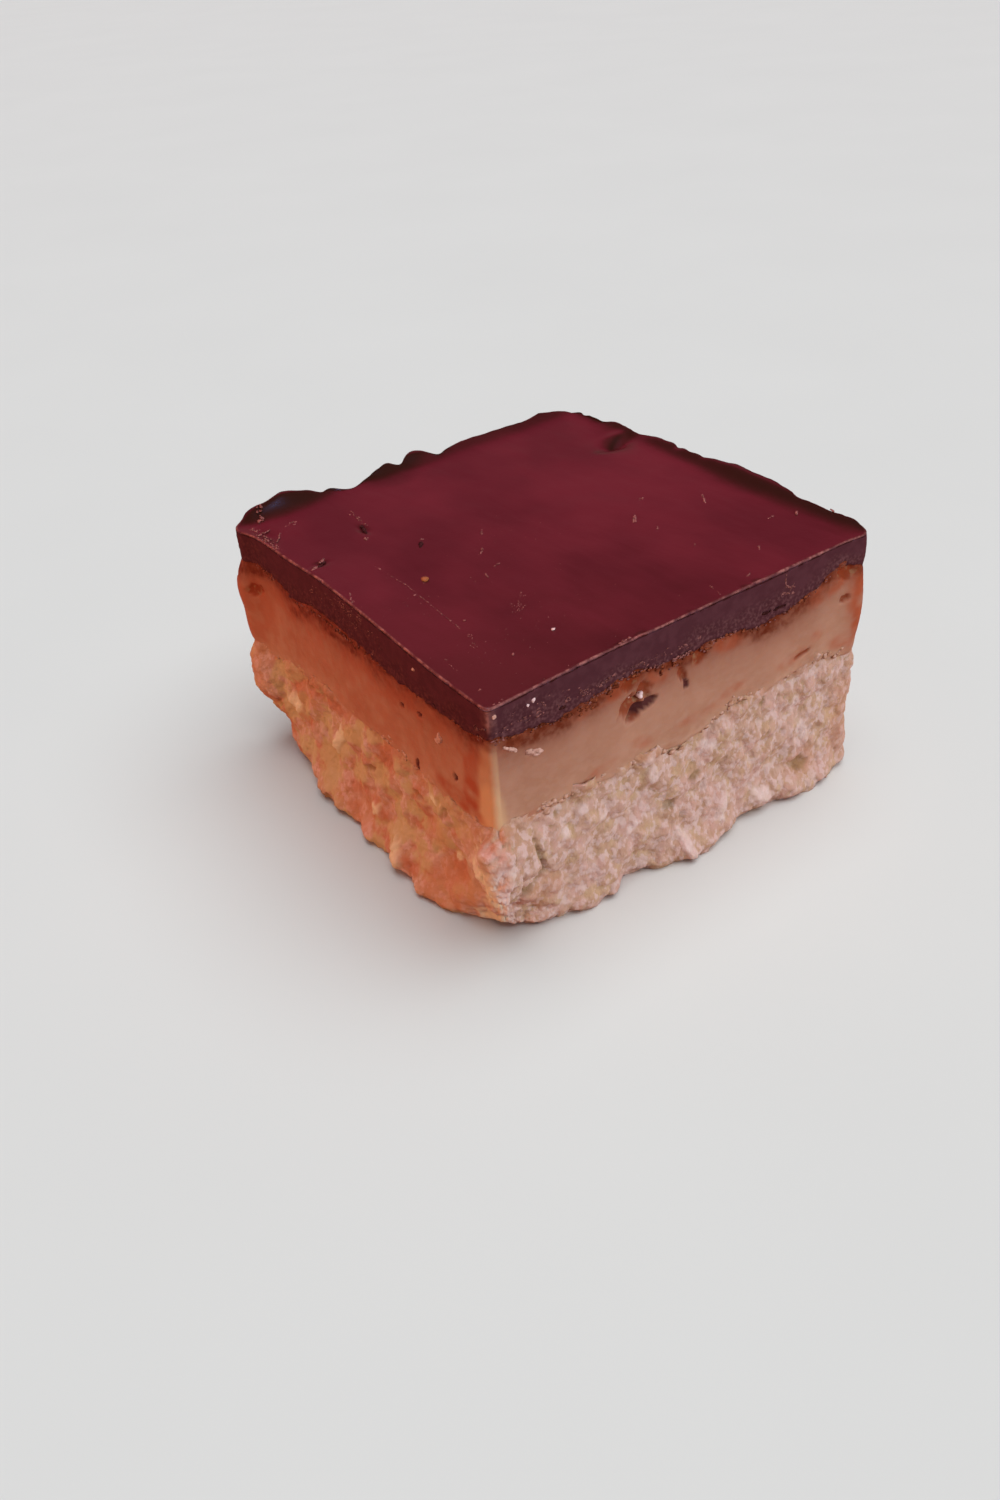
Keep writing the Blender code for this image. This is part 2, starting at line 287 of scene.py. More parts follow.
# Marks on the cut faces: (face, along, height, half width, half height, tilt in degrees, depth)
RIGHT, LEFT, TOP = "right", "left", "top"
MARK_EDGE = (0.55, 1.2)
FACE_FADE = (1.5, 6.0)
FLAKES = (
    (RIGHT, 22.6, 18.6, 0.8, 1.0, 10.0, 0.30),
    (RIGHT, 23.4, 16.0, 0.8, 1.4, 18.0, 0.35),
    (RIGHT, 28.4, 3.0, 0.75, 2.7, 14.0, 0.45),
    (RIGHT, 49.3, 14.6, 0.7, 2.0, 10.0, 0.25),
    (RIGHT, 12.6, 16.2, 0.8, 0.9, 0.0, 0.25),
    (RIGHT, 9.6, 14.6, 0.6, 1.2, 20.0, 0.2),
    (RIGHT, 15.4, 13.2, 0.6, 1.3, -20.0, 0.2),
    (RIGHT, 20.5, 9.2, 1.2, 0.8, 30.0, 0.25),
    (RIGHT, 35.5, 5.4, 1.1, 2.0, -15.0, 0.25),
    (RIGHT, 43.0, 3.4, 2.4, 1.3, -30.0, 0.25),
    (RIGHT, 33.0, 16.0, 1.3, 0.8, -20.0, 0.2),
    (RIGHT, 51.0, 10.0, 1.0, 2.2, 20.0, 0.2),
    (LEFT, 21.6, 2.8, 1.9, 2.6, -24.0, 0.7),
    (LEFT, 9.2, 9.4, 0.6, 1.1, 30.0, 0.3),
    (LEFT, 1.8, 10.0, 3.0, 7.0, 0.0, 0.05),
    (LEFT, 3.5, 2.0, 4.0, 1.8, 0.0, 0.10),
    (LEFT, 38.0, 12.0, 1.0, 3.4, 30.0, 0.3),
    (LEFT, 28.0, 6.0, 1.2, 1.2, 0.0, 0.3),
    (LEFT, 5.2, 0.9, 2.6, 0.7, -8.0, 0.2),
    (LEFT, 13.0, 16.4, 1.0, 0.8, 0.0, 0.2),
    (LEFT, 50.0, 12.0, 1.6, 1.6, 0.0, 0.3),
)
PITS = (
    (RIGHT, 10.4, 19.2, 1.7, 0.40, -4.0, -0.6),
    (RIGHT, 27.8, 18.6, 1.1, 0.45, 25.0, -0.7),
    (RIGHT, 38.4, 20.4, 1.4, 0.45, -15.0, -0.7),
    (RIGHT, 42.6, 18.4, 0.5, 0.8, 0.0, -0.6),
    (RIGHT, 5.4, 13.4, 0.5, 3.0, 16.0, -1.1),
    (RIGHT, 6.0, 10.6, 0.6, 1.3, 30.0, -0.8),
    (RIGHT, 2.6, 8.7, 3.2, 0.5, 14.0, -1.2),
    (RIGHT, 30.9, 12.2, 1.0, 0.5, 10.0, -0.5),
    (RIGHT, 26.8, 9.6, 1.2, 0.7, 10.0, -0.5),
    (RIGHT, 43.8, 8.0, 0.8, 0.8, 0.0, -0.5),
    (RIGHT, 50.4, 4.9, 1.8, 1.2, 10.0, -0.6),
    (RIGHT, 8.6, 17.6, 0.5, 0.5, 0.0, -0.5),
    (LEFT, 10.8, 15.6, 0.6, 1.1, 30.0, -0.7),
    (LEFT, 17.2, 14.6, 1.2, 0.45, 0.0, -0.7),
    (LEFT, 32.0, 18.7, 1.0, 0.4, 0.0, -0.6),
    (LEFT, 44.4, 17.4, 1.6, 0.5, -20.0, -0.6),
    (LEFT, 29.4, 12.0, 1.6, 0.5, -25.0, -0.6),
    (LEFT, 55.6, 9.4, 1.5, 0.7, -35.0, -0.8),
    (LEFT, 42.0, 0.8, 4.0, 1.2, -10.0, -0.6),
)
LEDGE = (
    (RIGHT, 1.2, 14.4, 4.2, 5.6, 0.0, 0.5),
    (LEFT, 0.6, 13.4, 2.0, 5.0, 0.0, 0.2),
)
BUBBLES = (
    (RIGHT, 22.4, 26.9, 2.2, 0.55, 16.0, -0.7),
    (RIGHT, 28.9, 27.1, 0.50, 0.70, 10.0, -0.4),
    (LEFT, 7.6, 23.0, 0.4, 0.6, 0.0, -0.35),
    (LEFT, 14.4, 28.4, 0.5, 0.3, 0.0, -0.25),
    (LEFT, 18.4, 27.6, 0.5, 0.35, 0.0, -0.3),
    (LEFT, 16.2, 19.8, 0.5, 0.9, 0.0, -0.3),
)
POCKETS = (
    (RIGHT, 20.4, 27.4, 1.7, 1.7, -12.0, -0.7),
    (RIGHT, 22.2, 29.2, 1.6, 1.2, 20.0, -0.5),
    (RIGHT, 20.3, 30.8, 1.5, 0.9, 0.0, -0.4),
    (RIGHT, 28.3, 28.7, 0.55, 1.2, 18.0, -0.5),
    (RIGHT, 30.9, 30.2, 0.9, 0.8, 0.0, -0.3),
    (RIGHT, 49.6, 22.9, 1.4, 0.4, 10.0, -0.3),
    (RIGHT, 56.4, 28.6, 0.8, 0.5, 0.0, -0.4),
    (RIGHT, 56.6, 32.4, 1.8, 0.9, -10.0, -0.5),
    (LEFT, 55.8, 28.2, 1.5, 0.9, -20.0, -0.3),
    (LEFT, 61.5, 28.6, 2.2, 1.3, -30.0, -0.6),
)

# Washes of colour on the cut faces: the same, with a strength in place of the depth
GRAZES = (
    (LEFT, 30.0, 34.6, 11.0, 1.3, 2.0, 0.7),
    (LEFT, 12.0, 32.2, 6.0, 0.9, -2.0, 0.5),
    (RIGHT, 4.0, 33.4, 7.0, 2.4, 0.0, 0.8),
    (LEFT, 57.0, 34.0, 6.0, 2.6, 0.0, 0.8),
)
# Reddish patches; the wide washes over the whole left face are painted warm shade rather than a real tint.
RUDDY_AND_WARM_SHADE = (
    (RIGHT, 35.8, 30.2, 3.0, 1.4, -10.0, 0.8),
    (RIGHT, 57.2, 22.0, 3.0, 1.3, 0.0, 0.55),
    (RIGHT, 47.5, 23.0, 3.0, 1.0, 10.0, 0.45),
    (RIGHT, 31.0, 21.6, 4.0, 0.8, 0.0, 0.4),
    (RIGHT, 15.0, 20.6, 3.0, 0.9, 15.0, 0.5),
    (RIGHT, 22.0, 21.8, 2.2, 1.0, -20.0, 0.5),
    (RIGHT, 37.0, 22.6, 2.5, 0.8, 10.0, 0.45),
    (RIGHT, 5.0, 19.4, 2.5, 0.8, 0.0, 0.4),
    (RIGHT, 52.0, 24.6, 1.4, 0.9, 0.0, 0.6),
    (RIGHT, 60.5, 27.0, 3.8, 9.0, 0.0, 1.0),
    (RIGHT, 53.5, 31.2, 5.0, 1.6, 15.0, 0.7),
    (RIGHT, 12.5, 30.2, 2.6, 1.2, 0.0, 0.55),
    (RIGHT, 3.0, 30.6, 3.0, 1.0, 0.0, 0.5),
    (RIGHT, 24.2, 30.4, 2.2, 1.6, -20.0, 0.75),
    (RIGHT, 17.6, 31.0, 5.0, 1.5, 6.0, 0.9),
    (RIGHT, 28.0, 31.6, 4.0, 1.5, 0.0, 0.9),
    (RIGHT, 7.0, 30.8, 7.0, 0.9, 0.0, 0.6),
    (LEFT, 7.5, 20.2, 6.0, 1.5, 10.0, 0.95),
    (LEFT, 4.6, 22.2, 1.9, 4.2, 14.0, 1.0),
    (LEFT, 61.5, 28.8, 3.4, 2.2, -30.0, 1.0),
    (LEFT, 55.6, 28.3, 2.4, 1.5, -10.0, 0.9),
    (LEFT, 5.0, 28.6, 4.0, 1.8, 0.0, 0.6),
    (LEFT, 4.2, 26.4, 1.7, 4.2, 14.0, 0.8),
    (LEFT, 16.6, 19.6, 1.2, 1.0, 0.0, 0.6),
    (LEFT, 45.0, 28.6, 9.0, 1.8, 5.0, 0.45),
    (LEFT, 31.0, 25.0, 28.0, 8.0, 0.0, 0.42),
    (LEFT, 31.0, 29.0, 29.0, 3.4, 0.0, 0.62),
    (LEFT, 57.0, 25.0, 7.0, 7.0, 0.0, 0.65),
)
# Lighter yellowish band round the front corner of the caramel: painted light where the shaded left face
# turns into the lit right face.
PAINTED_CORNER_LIGHT = (
    (LEFT, 1.3, 21.5, 2.4, 5.5, 8.0, 1.0),
    (LEFT, 0.9, 27.0, 1.8, 4.5, 6.0, 0.5),
    (LEFT, 3.4, 18.6, 4.4, 0.9, -22.0, 0.8),
    (RIGHT, 0.0, 20.6, 1.7, 5.0, 0.0, 0.7),
)
SMEARS = (
    (LEFT, 10.0, 4.0, 6.0, 4.0, -20.0, 0.9),
    (LEFT, 13.5, 11.0, 3.0, 2.6, 0.0, 0.7),
    (LEFT, 6.0, 14.5, 4.0, 2.2, 0.0, 0.3),
    (LEFT, 32.0, 3.5, 4.0, 3.4, -20.0, 0.6),
    (LEFT, 46.0, 15.0, 5.0, 2.0, -20.0, 0.6),
    (LEFT, 60.0, 14.0, 4.0, 5.0, 0.0, 0.7),
    (RIGHT, 6.0, 7.0, 3.5, 3.0, 0.0, 0.45),
    (RIGHT, 51.0, 5.0, 3.2, 2.4, 0.0, 0.5),
    (RIGHT, 58.5, 9.0, 3.0, 8.0, 0.0, 0.5),
)

# Crumbs that stick to the cut faces and the top: (face, along, height or v, size, squash, tone)
CRUMBS = (
    (RIGHT, 21.9, 28.5, 0.52, 0.8, "white"),
    (RIGHT, 5.3, 34.7, 0.26, 0.7, "white"),
    (RIGHT, 6.1, 35.0, 0.24, 0.7, "white"),
    (RIGHT, 0.8, 35.2, 0.34, 0.6, "pale"),
    (RIGHT, 20.0, 29.0, 0.12, 0.6, "pale"),
    (LEFT, 10.4, 26.9, 0.62, 0.5, "pale"),
    (LEFT, 10.9, 26.4, 0.50, 0.5, "pale"),
    (LEFT, 14.1, 34.8, 0.26, 0.6, "pale"),
    (TOP, 15.0, 7.7, 0.26, 0.6, "white"),
    (TOP, 10.5, 28.0, 0.50, 0.5, "amber"),
)

# Fine marks: (face, from along, from height, to along, to height, spread, bits, size, tone)
STROKES = (
    (RIGHT, 1.9, 30.6, 3.5, 29.3, 0.22, 12, 0.30, "pale"),
    (RIGHT, 4.9, 28.3, 7.0, 27.8, 0.28, 16, 0.32, "pale"),
    (TOP, 7.5, 37.0, 7.9, 28.0, 0.05, 34, 0.09, "scuff"),
    (TOP, 7.9, 28.0, 7.0, 15.0, 0.05, 50, 0.09, "scuff"),
    (TOP, 7.1, 25.2, 7.5, 25.4, 0.15, 5, 0.14, "scuff"),
    (TOP, 1.0, 39.6, 2.0, 40.2, 0.15, 7, 0.22, "scuff"),
    (TOP, 2.7, 40.8, 3.8, 41.5, 0.15, 7, 0.20, "scuff"),
    (TOP, 2.0, 39.9, 3.3, 40.7, 0.12, 6, 0.24, "dark"),
    (TOP, 11.9, 44.6, 12.2, 46.6, 0.14, 9, 0.32, "dark"),
    (TOP, 12.9, 46.0, 13.6, 52.0, 0.25, 16, 0.13, "scuff"),
    (TOP, 10.5, 42.4, 11.4, 43.6, 0.2, 8, 0.16, "scuff"),
    (TOP, 15.2, 36.2, 15.8, 36.8, 0.2, 6, 0.28, "dark"),
    (TOP, 16.0, 37.4, 16.4, 37.6, 0.2, 3, 0.13, "scuff"),
    (TOP, 19.4, 28.6, 20.8, 29.9, 0.1, 8, 0.16, "scuff"),
    (TOP, 16.6, 23.0, 17.0, 24.0, 0.1, 5, 0.15, "scuff"),
    (TOP, 19.0, 24.9, 20.0, 25.1, 0.15, 5, 0.12, "scuff"),
    (TOP, 23.0, 33.4, 24.0, 34.6, 0.2, 7, 0.12, "scuff"),
    (TOP, 40.1, 22.3, 41.3, 23.6, 0.12, 9, 0.20, "scuff"),
    (TOP, 40.7, 18.6, 41.4, 19.2, 0.12, 5, 0.15, "scuff"),
    (TOP, 44.9, 26.4, 45.7, 27.4, 0.2, 6, 0.14, "scuff"),
    (TOP, 50.2, 19.2, 52.4, 22.4, 0.12, 16, 0.17, "scuff"),
    (TOP, 46.2, 5.7, 46.9, 6.3, 0.1, 5, 0.18, "scuff"),
    (TOP, 56.4, 9.2, 57.6, 9.8, 0.15, 5, 0.15, "scuff"),
    (TOP, 53.4, 10.8, 54.4, 11.4, 0.15, 4, 0.12, "scuff"),
    (TOP, 41.0, 11.8, 41.6, 12.4, 0.1, 3, 0.12, "scuff"),
    (TOP, 40.0, 1.7, 40.8, 2.1, 0.1, 5, 0.15, "scuff"),
    (TOP, 34.8, 0.6, 35.3, 3.2, 0.08, 8, 0.09, "scuff"),
    (TOP, 60.0, 6.0, 60.4, 6.8, 0.1, 4, 0.2, "scuff"),
    (TOP, 14.0, 13.6, 17.4, 17.0, 0.8, 40, 0.08, "scuff"),
    (TOP, 16.0, 15.6, 17.5, 17.2, 0.15, 9, 0.10, "scuff"),
    (TOP, 5.7, 10.4, 7.1, 13.4, 0.35, 16, 0.08, "scuff"),
    (TOP, 1.6, 8.0, 2.0, 11.0, 0.15, 7, 0.09, "scuff"),
    (TOP, 8.4, 16.2, 8.7, 16.5, 0.1, 3, 0.13, "scuff"),
    (TOP, 8.2, 6.4, 8.6, 6.7, 0.1, 3, 0.12, "scuff"),
    (TOP, 1.5, 3.4, 1.7, 3.6, 0.1, 3, 0.14, "scuff"),
    (TOP, 3.0, 4.0, 30.0, 18.0, 7.0, 110, 0.055, "scuff"),
    (TOP, 2.0, 22.0, 30.0, 34.0, 6.0, 60, 0.055, "scuff"),
    (TOP, 0.6, 49.0, 3.0, 52.6, 0.12, 14, 0.16, "scuff"),
    (TOP, 0.5, 54.0, 2.6, 54.6, 0.2, 10, 0.18, "scuff"),
    (TOP, 0.3, 47.5, 1.2, 58.0, 0.5, 40, 0.16, "scuff"),
    (TOP, 4.0, 53.6, 6.6, 54.4, 0.5, 12, 0.14, "scuff"),
    (TOP, 2.8, 57.8, 4.2, 61.0, 0.4, 16, 0.24, "scuff"),
    (TOP, 0.3, 28.6, 1.4, 31.0, 0.2, 10, 0.13, "scuff"),
    (TOP, 0.3, 0.3, 3.0, 0.4, 0.15, 9, 0.14, "scuff"),
    (TOP, 18.2, 0.3, 20.4, 0.5, 0.15, 10, 0.15, "scuff"),
    (RIGHT, 45.1, 36.7, 45.3, 34.2, 0.06, 12, 0.12, "scuff"),
    (RIGHT, 44.2, 33.7, 47.2, 32.8, 0.25, 16, 0.14, "scuff"),
    (RIGHT, 45.4, 34.4, 46.9, 33.4, 0.2, 12, 0.16, "scuff"),
    (RIGHT, 46.9, 34.2, 45.2, 33.0, 0.2, 8, 0.12, "scuff"),
    (RIGHT, 41.4, 31.9, 45.8, 31.6, 0.1, 16, 0.22, "dark"),
    (RIGHT, 9.8, 32.1, 10.4, 32.2, 0.1, 4, 0.34, "dark"),
    (RIGHT, 30.0, 32.6, 31.0, 33.0, 0.2, 6, 0.12, "scuff"),
    (RIGHT, 0.5, 33.2, 14.0, 32.8, 0.7, 70, 0.11, "scuff"),
    (RIGHT, 13.0, 32.6, 20.0, 33.2, 0.35, 40, 0.11, "scuff"),
    (RIGHT, 20.0, 33.2, 31.0, 32.4, 0.35, 56, 0.11, "scuff"),
    (RIGHT, 2.0, 34.6, 12.0, 33.8, 0.6, 26, 0.07, "scuff"),
    (RIGHT, 0.4, 31.8, 3.0, 31.8, 0.5, 12, 0.16, "scuff"),
    (LEFT, 23.6, 33.4, 24.4, 31.8, 0.1, 7, 0.13, "scuff"),
    (LEFT, 26.0, 35.6, 33.0, 36.0, 0.6, 70, 0.10, "scuff"),
    (LEFT, 22.0, 34.6, 40.0, 34.4, 1.0, 110, 0.08, "scuff"),
    (LEFT, 36.0, 32.6, 41.0, 31.8, 0.6, 26, 0.10, "scuff"),
    (LEFT, 0.6, 33.6, 2.6, 32.8, 0.5, 14, 0.13, "scuff"),
    (LEFT, 8.0, 32.0, 14.0, 31.2, 0.3, 20, 0.13, "dark"),
)

# Grit along the seams: (face, from along, to along, below the seam, spread, bits, size, tone)
CHOCOLATE_GRIT = (
    (RIGHT, 0.5, 12.0, 0.1, 0.30, 24, 0.16, "rust"),
    (RIGHT, 12.0, 33.0, 0.2, 0.60, 44, 0.20, "rust"),
    (RIGHT, 33.0, 58.0, 0.1, 0.30, 36, 0.15, "rust"),
    (RIGHT, 13.0, 32.0, 0.0, 0.45, 60, 0.12, "scuff"),
    (RIGHT, 1.0, 58.0, 0.0, 0.30, 130, 0.10, "scuff"),
    (LEFT, 1.0, 30.0, 0.1, 0.30, 40, 0.14, "rust"),
    (LEFT, 30.0, 58.0, 0.1, 0.25, 40, 0.14, "rust"),
    (LEFT, 1.0, 58.0, 0.0, 0.30, 110, 0.10, "scuff"),
)
CARAMEL_GRIT = (
    (RIGHT, 1.0, 58.0, 0.2, 0.45, 110, 0.26, "crumb"),
    (RIGHT, 1.0, 58.0, -0.3, 0.50, 40, 0.14, "crumb"),
    (LEFT, 3.0, 58.0, -0.1, 0.40, 110, 0.26, "crumb"),
)

# Looks of the crumbs, marks and grit: (slot, material, dark colour, light colour, roughness)
TONES = {
    "pale": ("shortbread", "crumb_pale", (0.52, 0.33, 0.25), (0.66, 0.46, 0.38), 0.7),
    "white": ("shortbread", "crumb_white", (0.70, 0.58, 0.56), (0.85, 0.74, 0.74), 0.6),
    "amber": ("caramel", "crumb_amber", (0.26, 0.10, 0.03), (0.36, 0.16, 0.05), 0.5),
    "scuff": ("chocolate", "scuff", (0.15, 0.060, 0.052), (0.30, 0.140, 0.125), 0.7),
    "crumb": ("shortbread", "crumb_soaked", (0.46, 0.27, 0.16), (0.62, 0.44, 0.34), 0.75),
    "rust": ("caramel", "grit_rust", (0.12, 0.028, 0.010), (0.27, 0.080, 0.032), 0.75),
    # Dark bits are painted shade: near-black lumps that stand for shaded pits and cracks.
    "dark": ("chocolate", "pit", (0.020, 0.007, 0.006), (0.045, 0.015, 0.012), 0.6),
}

# Random draws of the crumbs, and shapes of marks and grit: range of size, stretch along a
# stroke, flatness, sideways spread
CRUMB_SEED = 7
BIT_SIZES = (0.5, 1.1)
BIT_STRETCH = 2.0
BIT_SQUASH = 0.35
BIT_SPREAD = 0.6
GRIT_SIZES = (0.5, 1.6)
GRIT_SHAPE = (1.6, 1.0, 0.25)

# Camera: where it stands, its heading from +X, how far it looks down, and its roll
CAMERA_PLACE = (-57.25, -88.86, 108.70)
CAMERA_HEADING = 56.601
CAMERA_DOWN = 36.304
CAMERA_ROLL = -4.356
CAMERA_LENS = 29.06
SENSOR = 36.0
NEAREST_SEEN = 0.005


def smooth(low, high, value):
    """Nought below low, one above high, eased between."""
    share = np.clip((value - low) / (high - low), 0.0, 1.0)
    return share * share * (3.0 - 2.0 * share)


def bell(distance_squared, reach):
    """A smooth bump of height one that dies away over its reach."""
    return np.exp(-distance_squared / (reach * reach))


def waves(u, v, features):
    """Sum of the plan bumps at each place."""
    total = np.zeros_like(u)
    for fu, fv, reach, height in features:
        total += height * bell((u - fu) ** 2 + (v - fv) ** 2, reach)
    return total


def form(u, v, z, features):
    """Sum of the swells and hollows of a side at each place and height."""
    total = np.zeros_like(u)
    for fu, fv, fz, reach, rise, depth in features:
        total += depth * bell((u - fu) ** 2 + (v - fv) ** 2, reach) * bell((z - fz) ** 2, rise)
    return total


def in_plan(u, v):
    """Places in plan as points at height nought."""
    return np.column_stack([u, v, np.zeros_like(u)])


def hashed(cells, salt):
    """A repeatable number from nought to one for each lattice cell."""
    cells = cells.astype(np.int64)
    mixed = cells[..., 0] * 374761393 + cells[..., 1] * 668265263
    mixed = mixed + cells[..., 2] * 1440662683 + salt * 974634777
    mixed = (mixed ^ (mixed >> 13)) & 0xFFFFFFFF
    mixed = (mixed * 1274126177) & 0xFFFFFFFF
    mixed = mixed ^ (mixed >> 16)
    mixed = (mixed * 2246822519) & 0xFFFFFFFF
    return ((mixed ^ (mixed >> 15)) & 0xFFFFFF) / float(0xFFFFFF)


def wander(points, size, salt):
    """Smooth noise between minus one and one with lumps of the given size."""
    scaled = points / size
    low = np.floor(scaled)
    share = scaled - low
    share = share * share * (3.0 - 2.0 * share)
    total = np.zeros(len(points))
    for corner in np.ndindex(2, 2, 2):
        weight = np.prod(np.where(np.array(corner) == 1, share, 1.0 - share), axis=1)
        total += weight * hashed(low + corner, salt)
    return 2.0 * total - 1.0


def layered(points, size, salt, octaves=3):
    """Noise in several sizes, each half as large and half as strong as the last."""
    total = np.zeros(len(points))
    for octave in range(octaves):
        total += wander(points, size / 2**octave, salt + octave) / 2**octave
    return total


def pebbles(points, size, salt):
    """Packed grains: a dome over each random seed, and the grain's own number."""
    scaled = points / size
    home = np.floor(scaled)
    nearest = np.full(len(points), 9.0)
    number = np.zeros(len(points))
    for step in np.ndindex(3, 3, 3):
        cell = home + np.array(step) - 1.0
        seed = cell + np.stack([hashed(cell, salt + k) for k in range(3)], axis=1)
        distance = np.linalg.norm(scaled - seed, axis=1)
        closer = distance < nearest
        number = np.where(closer, hashed(cell, salt + 3), number)
        nearest = np.where(closer, distance, nearest)
    return np.sqrt(np.clip(1.0 - (nearest / DOME_REACH) ** 2, 0.0, 1.0)), number


def plan(radii, count, crowd=0.0):
    """The outline as columns u, v, outward u, outward v, anticlockwise.

    The columns are evenly spaced, apart from a crowd of them round the front corner.
    """
    corners = np.array([(0.0, 0.0), (WIDTH, 0.0), (WIDTH, DEPTH), (0.0, DEPTH)])
    inward = np.array([(1, 1), (-1, 1), (-1, -1), (1, -1)])
    quarters = []
    for index in range(4):
        angles = math.pi * (1.0 + 0.5 * index) + np.linspace(0.0, 0.5 * math.pi, ARC_POINTS)
        out = np.stack([np.cos(angles), np.sin(angles)], axis=1)
        arc = corners[index] + inward[index] * radii[index] + radii[index] * out
        before = 0.5 * (corners[index] + corners[index - 1])
        after = 0.5 * (corners[index] + corners[(index + 1) % 4])
        line = np.vstack([before, arc, after])
        normal = np.vstack([out[0], out, out[-1]])
        length = np.concatenate([[0.0], np.cumsum(np.linalg.norm(np.diff(line, axis=0), axis=1))])
        steps = np.linspace(0.0, length[-1], PLAN_STEPS)
        weight = 1.0 + (crowd if index == 0 else 0.0) * bell((steps - 0.5 * length[-1]) ** 2, CROWD_REACH)
        shares = np.concatenate([[0.0], np.cumsum(weight[1:])])
        wanted = np.linspace(0.0, shares[-1], count // 4, endpoint=False)
        wanted = np.interp(wanted, shares, steps)
        columns = [np.interp(wanted, length, data) for data in (*line.T, *normal.T)]
        quarters.append(np.stack(columns, axis=1))
    ring = np.vstack(quarters)
    ring[:, 2:] /= np.linalg.norm(ring[:, 2:], axis=1)[:, None]
    return ring


def tin_share(u, v):
    """One on the two far sides that set against the tin, nought on the cut faces."""
    return smooth(-2.0, 2.0, np.minimum(u, v) - np.minimum(WIDTH - u, DEPTH - v))


def chocolate_bottom(u, v, inset=0.0):
    """Height of the seam between caramel and chocolate."""
    fade = max(0.0, 1.0 - inset / EDGE_FADE)
    return CHOCOLATE_BOTTOM + fade * waves(u, v, CHOCOLATE_WAVES)


def caramel_bottom(u, v, inset=0.0):
    """Height of the seam between base and caramel."""
    fade = max(0.0, 1.0 - inset / EDGE_FADE)
    return BASE_TOP + fade * waves(u, v, CARAMEL_WAVES)


def chocolate_top(u, v, inset=0.0):
    """Height of the top, with the raised lip along the two far edges."""
    fade = max(0.0, 1.0 - inset / TOP_FADE)
    far = np.maximum(np.minimum(WIDTH - u, DEPTH - v), 0.0)
    lip = (LIP_HEIGHT + waves(u, v, LIP_BUMPS)) * bell(far**2, LIP_REACH)
    crest = (LIP_CREST + LOBE_RISE * waves(u, v, LOBES)) * bell(far**2, LIP_CREST_REACH)
    cut = np.clip(np.minimum(u, v) / LIP_REACH, 0.0, 1.0)
    return CHOCOLATE_TOP + fade * waves(u, v, TOP_SLOPES) + (lip + crest) * cut


def mark(u, v, z, feature, ragged=0.0):
    """How strongly one oval mark on a cut face covers each point."""
    face, along_0, height_0, half_width, half_height, tilt, _ = feature
    along, far = (u, v) if face == RIGHT else (v, u)
    on_face = (far < along + 0.8) * (1.0 - smooth(*FACE_FADE, far))
    turn = math.radians(tilt)
    across = (along - along_0) * math.cos(turn) + (z - height_0) * math.sin(turn)
    up = (z - height_0) * math.cos(turn) - (along - along_0) * math.sin(turn)
    reach = np.sqrt((across / half_width) ** 2 + (up / half_height) ** 2)
    return on_face * (1.0 - smooth(*MARK_EDGE, reach + ragged))


def marks(u, v, z, features, ragged=0.0):
    """Total depth of the marks at each point, and the strongest cover."""
    depth, cover = np.zeros_like(u), np.zeros_like(u)
    for feature in features:
        here = mark(u, v, z, feature, ragged)
        depth += here * feature[-1]
        cover = np.maximum(cover, here)
    return depth, cover


def washes(u, v, z, features):
    """Strength of the soft patches of colour at each point."""
    total = np.zeros_like(u)
    for feature in features:
        total = np.maximum(total, mark(u, v, z, feature) * feature[-1])
    return total


def place(name, mesh):
    """Put a mesh in the scene as a piece that rides on the one body."""
    piece = bpy.data.objects.new(name, mesh)
    bpy.data.collections["food"].objects.link(piece)
    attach(piece, "root")
    return piece


def loft(name, layers, material):
    """One closed mesh through rings of points, lowest first.

    Each layer is a ring of points and a dictionary with a value for each of them.
    """
    rings = [ring for ring, _ in layers]
    count = len(rings[0])
    points = (np.vstack(rings) + np.array((*FRONT_CORNER, 0.0))) * MILLIMETRE
    here = np.arange(count)
    after = np.roll(here, -1)
    quads = []
    for row in range(len(rings) - 1):
        low, high = row * count, (row + 1) * count
        quads.append(np.stack([low + here, low + after, high + after, high + here], axis=1))
    faces = np.vstack(quads).tolist()
    faces.append(here[::-1].tolist())
    faces.append(((len(rings) - 1) * count + here).tolist())
    mesh = bpy.data.meshes.new(name)
    mesh.from_pydata(points.tolist(), [], faces)
    for key in sorted({key for _, values in layers for key in values}):
        data = [values.get(key, np.zeros(count)) for _, values in layers]
        layer = mesh.attributes.new(key, "FLOAT", "POINT")
        layer.data.foreach_set("value", np.concatenate(data).astype(np.float32))
    mesh.shade_smooth()
    mesh.materials.append(material)
    return place(name, mesh)


def cap_plan(edge, inset, calm_edge=None):
    """Plan of a ring on a cap: the edge ring drawn in towards the middle.

    A calm edge takes over further in, so chips in the edge don't run on across the cap.
    """
    middle = np.array([0.5 * WIDTH, 0.5 * DEPTH])
    outer = edge[:, :2]
    if calm_edge is not None:
        outer = calm_edge + (outer - calm_edge) * math.exp(-((inset / CHIP_FADE) ** 2))
    return middle + (outer - middle) * (1.0 - inset / middle)


def cap(edge, insets, height_of, lift):
    """Plain rings that close a layer where its neighbour covers it."""
    rings = []
    for inset in insets:
        flat = cap_plan(edge, inset)
        rings.append((np.column_stack([flat, height_of(*flat.T, inset) + lift]), {}))
    return rings


def columns(size_step):
    """How many points go round a layer."""
    return 4 * round(0.5 * (WIDTH + DEPTH) / size_step)


# Shortbread base

